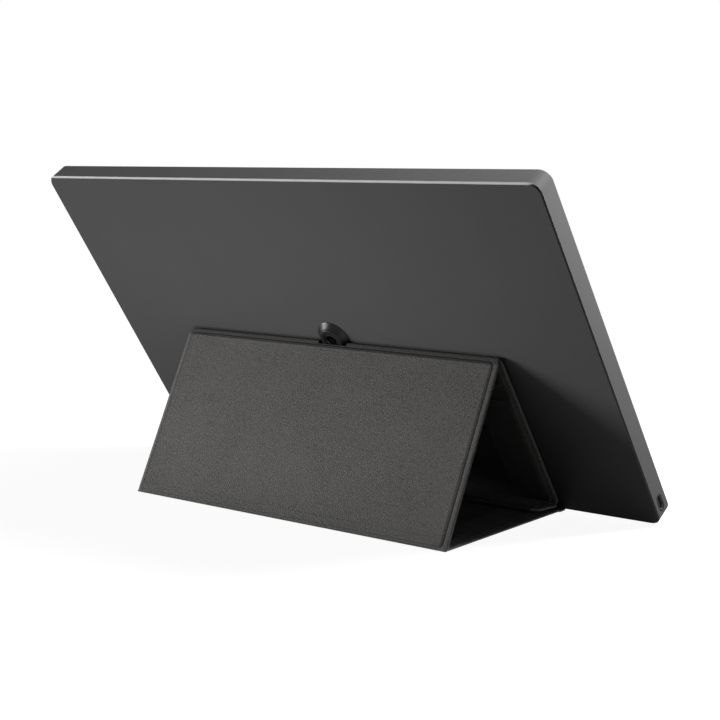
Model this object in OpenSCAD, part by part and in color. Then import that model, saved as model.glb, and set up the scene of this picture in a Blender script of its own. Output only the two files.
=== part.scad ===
// Portable monitor leaning back on its cover, which is folded into a three-sided stand behind it.
// Millimetres, +Z up. The screen faces -Y, the stand is on the +Y side.
// The origin is on the table, under the middle of the whole object.

/* [Monitor] */
// Width of the monitor
panel_w = 360; // [357:1:390]
// Height of the monitor, along its back
panel_h = 226; // [225:1:245]
// Thickness of the monitor
panel_t = 11.8; // [11.4:0.1:14]
// Lean of the monitor back from upright, in degrees
tilt = 32.5; // [28:0.5:37]
// Radius of the housing's corners
corner_r = 6.5; // [4:0.5:12]
// Chamfer round the edge of the back
edge_chamfer = 0.8; // [0.3:0.1:1.2]
// Thickness of the housing's side walls
side_wall = 1.6; // [1.2:0.1:2.2]
// Thickness of the housing's back
back_wall = 1.4; // [1:0.1:1.8]

/* [Display] */
// Distance from each side of the monitor to the picture
side_border = 7.9; // [7.6:0.1:14]
// Distance from the top of the monitor to the picture
top_border = 8.8; // [7.6:0.1:14]
// Distance from the bottom of the monitor to the picture
picture_up = 23.6; // [23.4:0.1:28]
// How far the bezel lies below the rim of the housing
bezel_recess = 0.3; // [0.1:0.05:0.6]
// Thickness of the bezel
bezel_t = 1.2; // [0.8:0.1:1.6]
// Thickness of the display cell
cell_t = 1.1; // [0.8:0.1:1.4]
// Thickness of the diffuser films together
films_t = 0.5; // [0.3:0.05:0.7]
// Thickness of the light guide
guide_t = 1; // [0.6:0.1:1.4]
// Thickness of the reflector film
reflector_t = 0.2; // [0.1:0.05:0.4]
// Thickness of the backlight tray's sheet
tray_t = 0.4; // [0.2:0.05:0.5]
// Border of the display cell outside the picture, at the sides and the top
cell_border = 3; // [2:0.1:3.2]
// Border of the display cell outside the picture, at the bottom
cell_foot = 6; // [4:0.1:6.1]
// Width of the LED strip's board
led_w = 1.6; // [1:0.1:2.4]

/* [Electronics] */
// Thickness of the circuit boards
board_pcb_t = 1; // [0.6:0.1:1.2]
// Length of the main board
main_board_w = 110; // [90:1:130]
// Height of the main board
main_board_h = 30; // [28:1:36]
// Diameter of the posts that carry the boards
post_d = 5; // [4:0.2:7]
// Diameter of the board screws' thread
screw_d = 1.8; // [1.4:0.1:2.2]
// Diameter of the board screws' heads
screw_head_d = 3.6; // [3:0.1:4.2]
// Diameter of the posts that carry the display
display_post_d = 7; // [5:0.5:8]
// Height of the USB-C port above the monitor's bottom edge
usb_up = 12.2; // [11:0.1:12.3]
// Length of the USB-C receptacle's mouth, outside its shell
usb_l = 8.94; // [8.8:0.02:9]
// Height of the USB-C receptacle's mouth, outside its shell
usb_h = 3.26; // [3.1:0.02:3.3]
// Depth of the receptacles
port_depth = 7.3; // [6.5:0.1:9]
// Height of the video port above the monitor's bottom edge
hdmi_up = 11; // [10:0.1:11.2]
// Length of the video port's mouth, outside its shell
hdmi_l = 11.2; // [10.8:0.1:11.4]
// Height of the video port's mouth, outside its shell
hdmi_h = 3.1; // [2.9:0.1:3.2]
// Thickness of the receptacles' metal shells
shell_t = 0.3; // [0.2:0.02:0.4]
// Clearance of a port or a key in the wall of the housing
port_gap = 0.15; // [0.1:0.05:0.3]

/* [Keys] */
// Height of the power key above the monitor's bottom edge
power_up = 34; // [30:1:38]
// Distance from the power key to the lower menu key
menu_offset = 16; // [14:1:20]
// Distance between the two menu keys
menu_pitch = 12; // [10.5:0.5:16]
// Length of the power key
power_l = 12; // [9:0.5:14]
// Length of a menu key
menu_l = 8; // [6:0.5:9]
// Width of the keys
key_w = 3; // [2.4:0.1:3.2]
// How far the keys stand out of the side wall
key_proud = 0.3; // [0.1:0.05:0.5]
// Travel of the keys
key_travel = 0.4; // [0.2:0.05:0.5]

/* [Tripod socket] */
// Height of the socket's centre above the cover's apex fold, along the back
boss_over = 4.9; // [4:0.1:8]
// Radius of the socket's boss where it meets the back
boss_r = 12; // [10.5:0.5:13]
// Radius of the boss's outer face
boss_top_r = 7.5; // [6.5:0.25:8.5]
// How far the boss stands out of the back
boss_proud = 3.7; // [3:0.1:3.8]
// Radius of the threaded hole, 1/4 inch
socket_r = 3.175; // [2.9:0.025:3.3]
// Wall of the threaded insert
insert_wall = 1.6; // [1.2:0.1:2]
// Depth of the threaded insert behind the outer face of the boss
insert_l = 7; // [6:0.1:7.6]

/* [Cover] */
// Width of the cover, along the monitor's width
cover_w = 235.4; // [200:0.2:300]
// Thickness of the outer skin of the cover
skin_t = 0.9; // [0.6:0.05:1.2]
// Thickness of the boards in the cover
board_t = 1.5; // [1.4:0.05:2]
// Thickness of the lining of the cover
lining_t = 0.6; // [0.4:0.05:0.9]
// Distance between the corner fold and the apex fold
back_len = 101.5; // [100.5:0.1:102.5]
// Distance between the apex fold and the rear fold
rear_len = 100.2; // [95:0.1:110]
// Length of the tuck-in flap from the corner fold
flap_len = 21; // [19:0.5:32]
// Bonded hem at the flap's free edge
flap_hem = 3.3; // [2:0.1:5]
// Rise of the flap above the base panel, in degrees
flap_lift = 3.5; // [3.5:0.1:5]
// Gap between the cover and the back of the monitor
back_gap = 0.8; // [0.5:0.05:1.2]
// Bonded hem round the boards, at the cover's outer edges
hem = 3.6; // [3:0.1:6]
// Bonded hem beside a fold
fold_hem = 0.7; // [0.5:0.1:1.5]
// Thickness of the bonded leather at the folds
fold_t = 1.4; // [1:0.1:1.8]
// Length of the short back board, next to the apex
short_board = 13; // [10:0.5:16]
// Gap between the short and the long back board
crease = 7.5; // [5:0.5:10]
// Width of the raised strips on the lining, at both ends of the boards
strip_w = 23; // [12:0.5:30]
// Height of the raised strips on the lining
strip_h = 0.22; // [0.1:0.02:0.25]
// Thickness of the hem, where the skin is turned and bonded to itself
hem_t = 1.7; // [1.2:0.05:1.8]
// How far the hem lies below the outer face of the boards
hem_drop = 0.4; // [0.2:0.05:0.5]
// Skin between a board's end and the hem
rim = 1.2; // [1:0.1:1.6]
// Radius of the corners of the raised fields over the boards
field_r = 2.5; // [1.5:0.1:2.5]
// Thickness of the lip in front of the base panel, which the monitor stands on
lip_t = 1.1; // [0.8:0.1:1.6]
// How far the lip reaches in front of the monitor's back edge
lip_reach = 3.5; // [2:0.25:6]
// Gap between the full base panel and the monitor's back edge
base_set_back = 4.5; // [4:0.25:5.5]

/* [Magnets] */
// Radius of the round magnets
magnet_r = 4; // [3:0.25:5]
// Thickness of the round magnets
magnet_t = 1.2; // [0.8:0.1:1.4]
// Distance from the middle to the inner magnets
magnet_in = 40; // [30:1:50]
// Distance from the middle to the outer magnets
magnet_out = 95; // [80:1:100]
// Place of the lower row of magnets, as a share of the long back board
magnet_low = 0.44; // [0.3:0.01:0.55]
// Place of the upper row of magnets, as a share of the long back board
magnet_high = 0.88; // [0.75:0.01:0.9]

/* [Hidden] */
$fn = 64;

// Overshoot of a cut beyond the surface it cuts
cut = 1;
// Clearance of pieces that are pushed together
snug = 0.05;
// Clearance of pieces that lie loosely beside each other
loose = 0.15;
// Clearance between layers of the cover that are on different panels
layer_gap = 0.3;
// How far the lining stays back from the ends of the fields, and its strips from its own ends
lining_edge = 0.3;
strip_in = 0.6;
// How far the straight ends of a fold strip reach into its bend, and how much thinner they are
tail_lap = 0.2;
tail_step = 0.02;
// How far a raised field stays back from the hem's own end at a fold
field_in = 0.1;
// Radius of the base lip's corners
lip_corner_r = 4;

// Colours
shell_grey = [0.20, 0.20, 0.21];
gloss_black = [0.03, 0.03, 0.035];
matt_black = [0.07, 0.07, 0.075];
leather = [0.17, 0.165, 0.16];
lining_grey = [0.12, 0.12, 0.12];
board_grey = [0.45, 0.44, 0.42];
pcb_green = [0.07, 0.26, 0.16];
steel = [0.70, 0.71, 0.73];
brass = [0.75, 0.62, 0.33];
white_film = [0.93, 0.93, 0.95];

// Outline of the monitor's layers, seen from behind; depth is counted from the back, inwards
rim_w = panel_w - 2 * (side_wall + loose);
rim_h = panel_h - 2 * (side_wall + loose);
rim_r = corner_r - side_wall - loose;
bezel_in = panel_t - bezel_recess - bezel_t;
cell_in = bezel_in - cell_t;
films_in = cell_in - films_t;
guide_in = films_in - guide_t;
reflector_in = guide_in - reflector_t;
tray_in = reflector_in - tray_t;
picture_w = panel_w - 2 * side_border;
picture_h = panel_h - picture_up - top_border;
cell_w = picture_w + 2 * cell_border;
cell_h = picture_h + cell_border + cell_foot;
cell_up = picture_up - cell_foot;
tray_w = cell_w + 2 * (loose + tray_t);
tray_h = cell_h + 2 * (loose + tray_t);
tray_up = cell_up - loose - tray_t;

// Boards and ports lie on one level, half way through the thickness of the side wall
port_in = panel_t / 2;
board_front = port_in - usb_h / 2;
board_back = board_front - board_pcb_t;
port_edge = panel_w / 2 - side_wall - 0.8;
mouth_in = 0.3;
main_left = port_edge - main_board_w;
board_low = 5;
side_board_w = 20;
side_board_h = power_up + menu_offset + menu_pitch + menu_l - board_low;
side_edge = port_edge - 5.2;
side_foot_h = hdmi_up + hdmi_l / 2 + 2 - board_low;
post_in = 4;
main_posts = [
    [main_left + post_in, board_low + post_in],
    [port_edge - 12, board_low + post_in],
    [main_left + post_in, board_low + main_board_h - post_in],
    [port_edge - 12, board_low + main_board_h - post_in]
];
side_posts = [
    [-side_edge + side_board_w - post_in, board_low + post_in],
    [-side_edge + side_board_w - post_in, board_low + side_board_h - post_in]
];
thread_end = back_wall + 0.6;
shield_w = 58;
shield_h = 18;
shield_left = 26;
shield_up = 6;
pad_t = 0.5;
timing_w = 150;
timing_h = 9;
timing_t = 0.8;
timing_up = 40;
timing_left = main_left - 40;
timing_chips = [12, 40];
timing_chip_w = 14;
timing_chip_t = 0.7;
connector_w = 20;
connector_d = 4;
connector_t = 0.9;
connector_left = main_left + 30;
ribbon_w = 17;
ribbon_t = 0.25;
cable_w = 6;
cable_up = board_low + 14;
cable_lap = 4;

// Keys
key_in = port_in - 0.3;
key_flange = 0.6;
key_flange_t = 0.8;
key_flange_gap = 0.1;
key_stem_l = 2;
key_stem_w = 1.2;
switch_l = 4.5;
switch_h = 2.3;
switch_d = 3;
plunger_l = 1.4;
plunger_d = 0.6;
key_stem_clear = 0.05;
switch_face = side_edge + switch_d / 2;

// Socket
boss_stem_r = socket_r + insert_wall + 2;
boss_stem_l = insert_l - boss_proud + 0.8;
nut_r = boss_stem_r + 3;
nut_t = 1.6;
boss_edge = 0.6;

// Cover geometry, in the plane across the folds: y rearwards from the monitor's back edge, z up.
// Each fold turns about a line in the planes of the lining, and the skin goes round it outside.
cover_t = skin_t + board_t + lining_t;
inner_r = cover_t - fold_t;
hem_in = cover_t - hem_drop - hem_t;
fold_half = sqrt(pow(cover_t, 2) - pow(inner_r, 2)) + 0.06;
foot_z = lip_t - edge_chamfer * sin(tilt);
back_plane = back_gap + cover_t;
corner_z = 2 * cover_t + layer_gap;
corner_u = (corner_z - foot_z + back_plane * sin(tilt)) / cos(tilt);
corner_y = back_plane * cos(tilt) + corner_u * sin(tilt);
apex_u = corner_u + back_len;
boss_up = apex_u + boss_over;
apex_y = back_plane * cos(tilt) + apex_u * sin(tilt);
apex_z = foot_z + apex_u * cos(tilt) - back_plane * sin(tilt);
rear_z = cover_t;
rear_y = apex_y + sqrt(pow(rear_len, 2) - pow(apex_z - rear_z, 2));
back_angle = 90 - tilt;
rear_angle = -acos((rear_y - apex_y) / rear_len);
base_angle = 180;
base_len = rear_y - base_set_back;
base_total = rear_y + lip_reach;

// The object is centred on its extent along Y
front_y = -panel_t * cos(tilt);
top_y = (panel_h - edge_chamfer) * sin(tilt);
frame_y = (front_y + top_y) / 2;

// The two back boards, counted along the back panel from its corner fold
back_s0 = fold_half;
back_s1 = back_len - fold_half;
short_s1 = back_s1 - fold_hem;
short_s0 = short_s1 - short_board;
long_s1 = short_s0 - crease;
long_s0 = back_s0 + fold_hem;
crease_low = long_s1 + fold_hem;
crease_high = short_s0 - fold_hem;

// Magnet rows, counted along the back panel and across the flap
magnet_rows = [for (share = [magnet_low, magnet_high]) long_s0 + share * (long_s1 - long_s0)];
magnet_cols = [-magnet_out, -magnet_in, magnet_in, magnet_out];
flap_magnet_s = fold_half + (flap_len - fold_half) / 2;
base_magnet_s = rear_y - corner_y - flap_magnet_s;

// ---- Frames ----

// Seen from behind: x to the right, y up along the monitor, z out of its back, which is z = 0.
module on_monitor() {
    translate([0, -frame_y, foot_z])
        rotate([-tilt, 0, 0])
            rotate([90, 0, 180])
                children();
}

// A flat panel of the cover: y from its fold, z from the lining out to the skin.
module on_panel(fold_y, fold_z, angle) {
    translate([0, fold_y - frame_y, fold_z])
        rotate([angle, 0, 0])
            children();
}

module on_back_panel() {
    on_panel(corner_y, corner_z, back_angle) children();
}

module on_rear_panel() {
    on_panel(apex_y, apex_z, rear_angle) children();
}

module on_base_panel() {
    on_panel(rear_y, rear_z, base_angle) children();
}

module on_flap() {
    on_panel(corner_y, corner_z, flap_lift)
        rotate([0, 180, 0])
            children();
}

// ---- Shapes ----

// Box centred on x, from low to high on y and z
module box_at(w, y0, y1, z0, z1) {
    translate([-w / 2, y0, z0])
        cube([w, y1 - y0, z1 - z0]);
}

// Flat plate with round corners, centred on x, from y = 0 and z = 0
module slab(w, h, t, r) {
    translate([-w / 2 + r, 0, 0])
        cube([w - 2 * r, h, t]);
    translate([-w / 2, r, 0])
        cube([w, h - 2 * r, t]);
    for (x = [-w / 2 + r, w / 2 - r], y = [r, h - r])
        translate([x, y, 0])
            cylinder(h = t, r = r);
}

// The same plate with a chamfer round its upper face
module chamfered_slab(w, h, t, r, c) {
    slab(w, h, t - c, r);
    translate([0, 0, t - c]) {
        translate([-w / 2 + r, 0, 0])
            rotate([90, 0, 90])
                linear_extrude(w - 2 * r)
                    polygon([[0, 0], [h, 0], [h - c, c], [c, c]]);
        translate([0, h - r, 0])
            rotate([90, 0, 0])
                linear_extrude(h - 2 * r)
                    polygon([[-w / 2, 0], [w / 2, 0], [w / 2 - c, c], [-w / 2 + c, c]]);
        for (x = [-w / 2 + r, w / 2 - r], y = [r, h - r])
            translate([x, y, 0])
                cylinder(h = c, r1 = r, r2 = r - c);
    }
}

// Bar with round ends, long on x, centred, from z = 0
module pill(l, d, h) {
    translate([-(l - d) / 2, -d / 2, 0])
        cube([l - d, d, h]);
    for (x = [-(l - d) / 2, (l - d) / 2])
        translate([x, 0, 0])
            cylinder(h = h, d = d);
}

// The same bar, long on y and running along x, as a hole in a side wall does
module side_pill(l, d, h) {
    rotate([0, 90, 0])
        rotate([0, 0, 90])
            pill(l, d, h);
}

// Rounded frame: a plate of the outer size with a rounded window
module ring(w, h, t, r, border) {
    difference() {
        slab(w, h, t, r);
        translate([0, border, -cut])
            slab(w - 2 * border, h - 2 * border, t + 2 * cut, max(r - border, 0.5));
    }
}

// ---- Monitor casing ----

// One cylinder at each board post, between two depths
module at_board_posts(d, from, to) {
    for (at = concat(main_posts, side_posts))
        translate([at[0], at[1], -from])
            cylinder(h = from - to, d = d);
}

module display_posts() {
    for (x = [-0.4, -0.133, 0.133, 0.4], y = [0.275, 0.58, 0.88])
        translate([x * panel_w, y * panel_h, -tray_in])
            cylinder(h = tray_in - back_wall + snug, d = display_post_d);
}

module key_hole(up, l) {
    translate([-panel_w / 2 - cut, up, -key_in])
        side_pill(l + 2 * port_gap, key_w + 2 * port_gap, side_wall + 2 * cut);
}

module port_hole(side, up, l, h) {
    translate([side > 0 ? panel_w / 2 - side_wall - cut : -panel_w / 2 - cut, up, -port_in])
        side_pill(l + 2 * port_gap, h + 2 * port_gap, side_wall + 2 * cut);
}

module rear_housing() {
    color(shell_grey) on_monitor() difference() {
        union() {
            difference() {
                translate([0, 0, -panel_t])
                    chamfered_slab(panel_w, panel_h, panel_t, corner_r, edge_chamfer);
                translate([0, side_wall, -panel_t - cut])
                    slab(panel_w - 2 * side_wall, panel_h - 2 * side_wall,
                         panel_t - back_wall + cut, corner_r - side_wall);
            }
            at_board_posts(post_d, board_back, back_wall - snug);
            display_posts();
        }
        at_board_posts(screw_d + 2 * snug, board_back + cut, back_wall + snug);
        translate([0, boss_up, -back_wall - cut])
            cylinder(h = back_wall + 2 * cut, r = boss_stem_r + snug);
        port_hole(1, usb_up, usb_l, usb_h);
        port_hole(-1, hdmi_up, hdmi_l, hdmi_h);
        key_hole(power_up, power_l);
        key_hole(power_up + menu_offset, menu_l);
        key_hole(power_up + menu_offset + menu_pitch, menu_l);
    }
}

module front_bezel() {
    color(matt_black) on_monitor() difference() {
        translate([0, side_wall + loose, -panel_t + bezel_recess])
            slab(rim_w, rim_h, bezel_t, rim_r);
        translate([0, picture_up, -panel_t - cut])
            slab(picture_w, picture_h, bezel_recess + bezel_t + 2 * cut, 0.5);
    }
}

// ---- Display ----

module display_layer(w, h, up, z0, z1) {
    on_monitor() box_at(w, up, up + h, -z0, -z1);
}

module display_cell() {
    color(gloss_black) display_layer(cell_w, cell_h, cell_up, bezel_in, cell_in);
}

module diffuser_films() {
    color(white_film) display_layer(cell_w - 2, cell_h - 1 - led_w, cell_up + led_w + loose, cell_in, films_in);
}

module light_guide() {
    color(white_film) display_layer(cell_w - 2, cell_h - 1 - led_w, cell_up + led_w + loose, films_in, guide_in);
}

module reflector_film() {
    color(white_film) display_layer(cell_w - 2, cell_h - 1, cell_up, guide_in, reflector_in);
}

module led_strip() {
    leds = 32;
    led_l = 3;
    pitch = (cell_w - 20) / leds;
    color(white_film) on_monitor() {
        box_at(cell_w - 4, cell_up, cell_up + led_w / 2, -films_in, -guide_in);
        for (n = [0 : leds - 1])
            translate([(n - (leds - 1) / 2) * pitch, cell_up + led_w / 2, 0])
                box_at(led_l, 0, led_w / 2, -films_in, -guide_in);
    }
}

module backlight_tray() {
    color(steel) on_monitor() difference() {
        box_at(tray_w, tray_up, tray_up + tray_h, -bezel_in, -tray_in);
        box_at(tray_w - 2 * tray_t, tray_up + tray_t, tray_up + tray_h - tray_t,
               -bezel_in - cut, -reflector_in);
    }
}

module timing_board() {
    color(pcb_green) on_monitor() {
        translate([timing_left, timing_up, -tray_in])
            cube([timing_w, timing_h, timing_t]);
        translate([connector_left, timing_up + 2, -tray_in + timing_t])
            cube([connector_w, connector_d, connector_t]);
        for (x = timing_chips)
            translate([timing_left + x, timing_up + 1.5, -tray_in + timing_t])
                cube([timing_chip_w, timing_h - 3, timing_chip_t]);
    }
}

// ---- Electronics ----

module main_board() {
    color(pcb_green) on_monitor() difference() {
        translate([main_left, board_low, -board_front])
            cube([main_board_w, main_board_h, board_pcb_t]);
        at_board_posts(screw_d + 2 * snug, board_front + cut, board_back - cut);
    }
}

module board_parts() {
    color(matt_black) on_monitor() {
        translate([connector_left, board_low + main_board_h - connector_d, -board_front - connector_t])
            cube([connector_w, connector_d, connector_t]);
        translate([main_left + shield_left + 22, board_low + shield_up + 3, -board_back])
            cube([12, 12, 0.9]);
        translate([main_left + shield_left + 6, board_low + shield_up + 5, -board_back])
            cube([8, 8, 0.8]);
        for (n = [0 : 4])
            translate([main_left + 12 + 8 * n, board_low + 8, -board_front - 0.8])
                cube([4, 3, 0.8]);
    }
}

module board_shield() {
    can_in = back_wall + pad_t;
    can_t = 0.2;
    color(steel) on_monitor()
        translate([main_left + shield_left, board_low + shield_up, 0]) difference() {
            translate([0, 0, -board_back])
                cube([shield_w, shield_h, board_back - can_in]);
            translate([can_t, can_t, -board_back - cut])
                cube([shield_w - 2 * can_t, shield_h - 2 * can_t, board_back - can_in - can_t + cut]);
        }
}

module heat_pad() {
    pad_w = shield_w / 2;
    color(white_film) on_monitor()
        translate([main_left + shield_left + pad_w / 2, board_low + shield_up + 2, -back_wall - pad_t])
            cube([pad_w, shield_h - 4, pad_t]);
}

module ribbon_cable() {
    from_y = board_low + main_board_h;
    from_z = -board_front - connector_t / 2;
    to_y = timing_up + 2;
    to_z = -tray_in + timing_t + connector_t / 2;
    color(brass) on_monitor()
        translate([connector_left + (connector_w - ribbon_w) / 2, 0, 0])
            rotate([90, 0, 90])
                linear_extrude(ribbon_w)
                    polygon([[from_y, from_z], [to_y, to_z], [to_y, to_z + ribbon_t], [from_y, from_z + ribbon_t]]);
}

module side_board() {
    foot_w = port_edge - side_edge + side_board_w;
    color(pcb_green) on_monitor() difference() {
        translate([0, board_low, -board_front]) {
            translate([-side_edge, 0, 0])
                cube([side_board_w, side_board_h, board_pcb_t]);
            translate([-port_edge, 0, 0])
                cube([foot_w, side_foot_h, board_pcb_t]);
        }
        at_board_posts(screw_d + 2 * snug, board_front + cut, board_back - cut);
    }
}

module side_cable() {
    left = -side_edge + side_board_w - cable_lap;
    color(matt_black) on_monitor()
        translate([left, cable_up, -board_front - ribbon_t])
            cube([main_left + cable_lap - left, cable_w, ribbon_t]);
}

module board_screws() {
    head_t = 0.8;
    color(steel) on_monitor() {
        at_board_posts(screw_head_d, board_front + head_t, board_front);
        at_board_posts(screw_d, board_front, thread_end);
    }
}

// Metal shell with a tongue, long on y, its mouth at x = 0 and its body towards -x
module receptacle(l, h, depth, tongue_h) {
    mirror([1, 0, 0]) {
        difference() {
            side_pill(l, h, depth);
            translate([-cut, 0, 0])
                side_pill(l - 2 * shell_t, h - 2 * shell_t, depth - 1 + cut);
        }
        translate([0.8, -(l - 3) / 2, -tongue_h / 2])
            cube([depth - 1, l - 3, tongue_h]);
    }
}

module usb_c_receptacle() {
    tongue_h = 0.7;
    color(steel) on_monitor()
        translate([panel_w / 2 - mouth_in, usb_up, -port_in])
            receptacle(usb_l, usb_h, port_depth, tongue_h);
}

module mini_hdmi_receptacle() {
    tongue_h = 0.8;
    color(steel) on_monitor()
        translate([-panel_w / 2 + mouth_in, hdmi_up, -port_in])
            mirror([1, 0, 0])
                receptacle(hdmi_l, hdmi_h, port_depth, tongue_h);
}

// ---- Keys, on the hidden side ----

module key_switches() {
    color(steel) on_monitor()
        for (up = [power_up, power_up + menu_offset, power_up + menu_offset + menu_pitch])
            translate([-switch_face, up, -board_front - switch_h]) {
                translate([0, -switch_l / 2, 0])
                    cube([switch_d, switch_l, switch_h]);
                translate([-plunger_d, -plunger_l / 2, (switch_h - plunger_l) / 2])
                    cube([plunger_d, plunger_l, plunger_l]);
            }
}

module side_key(up, l) {
    wall_in = panel_w / 2 - side_wall;
    flange_out = wall_in - key_flange_gap;
    flange_in = flange_out - key_flange_t;
    stem_in = switch_face + plunger_d + key_travel + key_stem_clear;
    color(matt_black) on_monitor()
        translate([0, up, -key_in]) {
            translate([-panel_w / 2 - key_proud, 0, 0])
                side_pill(l, key_w, panel_w / 2 + key_proud - flange_out);
            translate([-flange_out, 0, 0])
                side_pill(l + 2 * key_flange, key_w + 2 * key_flange, key_flange_t);
            translate([-flange_in, -key_stem_l / 2, -key_stem_w / 2])
                cube([flange_in - stem_in, key_stem_l, key_stem_w]);
        }
}

module power_key() {
    side_key(power_up, power_l);
}

module menu_key_low() {
    side_key(power_up + menu_offset, menu_l);
}

module menu_key_high() {
    side_key(power_up + menu_offset + menu_pitch, menu_l);
}

// ---- Tripod socket ----

module socket_boss() {
    insert_r = socket_r + insert_wall + snug;
    color(gloss_black) on_monitor() translate([0, boss_up, 0]) difference() {
        rotate_extrude()
            polygon([
                [0, -boss_stem_l], [boss_stem_r, -boss_stem_l], [boss_stem_r, 0], [boss_r, 0],
                [boss_r, 0.3], [boss_top_r + boss_edge, boss_proud - boss_edge / 2],
                [boss_top_r, boss_proud], [0, boss_proud]
            ]);
        translate([0, 0, -boss_stem_l - cut])
            cylinder(h = boss_stem_l + boss_proud + 2 * cut, r = insert_r);
    }
}

module socket_insert() {
    insert_r = socket_r + insert_wall;
    recess = 0.4;
    color(brass) on_monitor() translate([0, boss_up, boss_proud - recess - insert_l]) difference() {
        cylinder(h = insert_l, r = insert_r);
        translate([0, 0, -cut])
            cylinder(h = insert_l + 2 * cut, r = socket_r);
    }
}

module socket_nut() {
    color(steel) on_monitor() translate([0, boss_up, -back_wall - nut_t]) difference() {
        cylinder(h = nut_t, r = nut_r);
        translate([0, 0, -cut])
            cylinder(h = nut_t + 2 * cut, r = boss_stem_r + snug);
    }
}

module holding_magnets() {
    color(steel) on_monitor()
        for (x = magnet_cols, s = magnet_rows)
            translate([x, corner_u + s, -back_wall - magnet_t])
                cylinder(h = magnet_t, r = magnet_r);
}

// ---- Cover ----

// Raised field of the skin over a board, from the lining's face to the outer face
module field(s0, s1) {
    translate([0, s0, lining_t])
        slab(cover_w - 2 * hem, s1 - s0, cover_t - lining_t, field_r);
}

// Pocket in the skin for a board
module pocket(s0, s1) {
    box_at(cover_w - 2 * (hem + rim), s0, s1, lining_t - cut, cover_t - skin_t);
}

// Skin of one panel: a hem all over, and a raised field with a pocket for the board.
// Hems are given beside the fold it starts at and at its far end.
module panel_skin(s0, s1, hem0, hem1) {
    difference() {
        union() {
            box_at(cover_w, s0, s1, hem_in, cover_t - hem_drop);
            field(s0 + field_in, s1 - hem1 + fold_hem - field_in);
        }
        pocket(s0 + hem0, s1 - hem1);
    }
}

module panel_board(s0, s1) {
    box_at(cover_w - 2 * (hem + rim + loose), s0 + loose, s1 - loose, lining_t, cover_t - skin_t);
}

module panel_lining(s0, s1) {
    translate([0, s0, 0])
        slab(cover_w - 2 * (hem + lining_edge), s1 - s0, lining_t, field_r);
}

// Raised strips of the lining, inside its two ends
module lining_strips(s0, s1) {
    for (side = [-1, 1])
        translate([side * (cover_w / 2 - hem - strip_in - strip_w / 2), s0 + strip_in, -strip_h])
            slab(strip_w, s1 - s0 - 2 * strip_in, strip_h + lining_t / 2, field_r);
}

// Discs in a row or in rows, and the holes round them
module magnet_set(cols, rows, r, z0, z1) {
    for (x = cols, s = rows)
        translate([x, s, z0])
            cylinder(h = z1 - z0, r = r);
}

// The round opening that lets the cover lie flat over the boss
module boss_opening() {
    on_monitor() translate([0, boss_up, -cut])
        cylinder(h = boss_proud + 0.5 + cut, r = boss_r + 0.5);
}

module back_panel_skin() {
    color(leather) difference() {
        on_back_panel() difference() {
            union() {
                box_at(cover_w, back_s0, back_s1, hem_in, cover_t - hem_drop);
                field(back_s0 + field_in, crease_low);
                field(crease_high, back_s1 - field_in);
            }
            pocket(long_s0, long_s1);
            pocket(short_s0, short_s1);
        }
        boss_opening();
    }
}

module long_back_board() {
    color(board_grey) difference() {
        on_back_panel() difference() {
            panel_board(long_s0, long_s1);
            magnet_set(magnet_cols, magnet_rows, magnet_r + snug, lining_t - cut, cover_t);
        }
        boss_opening();
    }
}

module short_back_board() {
    color(board_grey) difference() {
        on_back_panel() panel_board(short_s0, short_s1);
        boss_opening();
    }
}

// The lining sinks between the two boards
module back_panel_lining() {
    color(lining_grey) difference() {
        on_back_panel() {
            panel_lining(back_s0, crease_low + lining_edge);
            panel_lining(crease_high - lining_edge, back_s1);
            box_at(cover_w - 2 * (hem + strip_in), crease_low + snug, crease_high - snug,
                   lining_t / 2, hem_in);
            lining_strips(long_s0, long_s1);
            lining_strips(short_s0, short_s1);
        }
        boss_opening();
    }
}

module back_panel_magnets() {
    color(steel) on_back_panel()
        magnet_set(magnet_cols, magnet_rows, magnet_r, cover_t - skin_t - magnet_t, cover_t - skin_t);
}

module rear_panel_skin() {
    color(leather) on_rear_panel()
        panel_skin(fold_half, rear_len - fold_half, fold_hem, fold_hem);
}

module rear_board() {
    color(board_grey) on_rear_panel()
        panel_board(fold_half + fold_hem, rear_len - fold_half - fold_hem);
}

module rear_panel_lining() {
    color(lining_grey) on_rear_panel() {
        panel_lining(fold_half, rear_len - fold_half);
        lining_strips(fold_half + fold_hem, rear_len - fold_half - fold_hem);
    }
}

module base_panel_skin() {
    color(leather) on_base_panel()
        panel_skin(fold_half, base_len, fold_hem, fold_hem);
}

// The base panel ends in a thin lip without a board, under the monitor's back edge
module base_lip() {
    color(leather) on_base_panel()
        translate([0, base_len - lip_corner_r, cover_t - lip_t])
            difference() {
                slab(cover_w, base_total - base_len + lip_corner_r, lip_t, lip_corner_r);
                box_at(cover_w + 2 * cut, -cut, lip_corner_r, -cut, lip_t + cut);
            }
}

module base_board() {
    color(board_grey) on_base_panel() difference() {
        panel_board(fold_half + fold_hem, base_len - fold_hem);
        magnet_set(magnet_cols, [base_magnet_s], magnet_r + snug, lining_t - cut, cover_t);
    }
}

module base_panel_lining() {
    color(lining_grey) on_base_panel() {
        panel_lining(fold_half, base_len);
        lining_strips(fold_half + fold_hem, base_len - fold_hem);
    }
}

module base_magnets() {
    color(steel) on_base_panel()
        magnet_set(magnet_cols, [base_magnet_s], magnet_r, lining_t, lining_t + magnet_t);
}

module flap_skin() {
    color(leather) on_flap()
        panel_skin(fold_half, flap_len, fold_hem, flap_hem);
}

module flap_board() {
    color(board_grey) on_flap() difference() {
        panel_board(fold_half + fold_hem, flap_len - flap_hem);
        magnet_set(magnet_cols, [flap_magnet_s], magnet_r + snug, lining_t - cut, cover_t);
    }
}

module flap_lining() {
    color(lining_grey) on_flap()
        panel_lining(fold_half, flap_len - flap_hem + fold_hem);
}

module flap_magnets() {
    color(steel) on_flap()
        magnet_set(magnet_cols, [flap_magnet_s], magnet_r, cover_t - skin_t - magnet_t, cover_t - skin_t);
}

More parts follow.
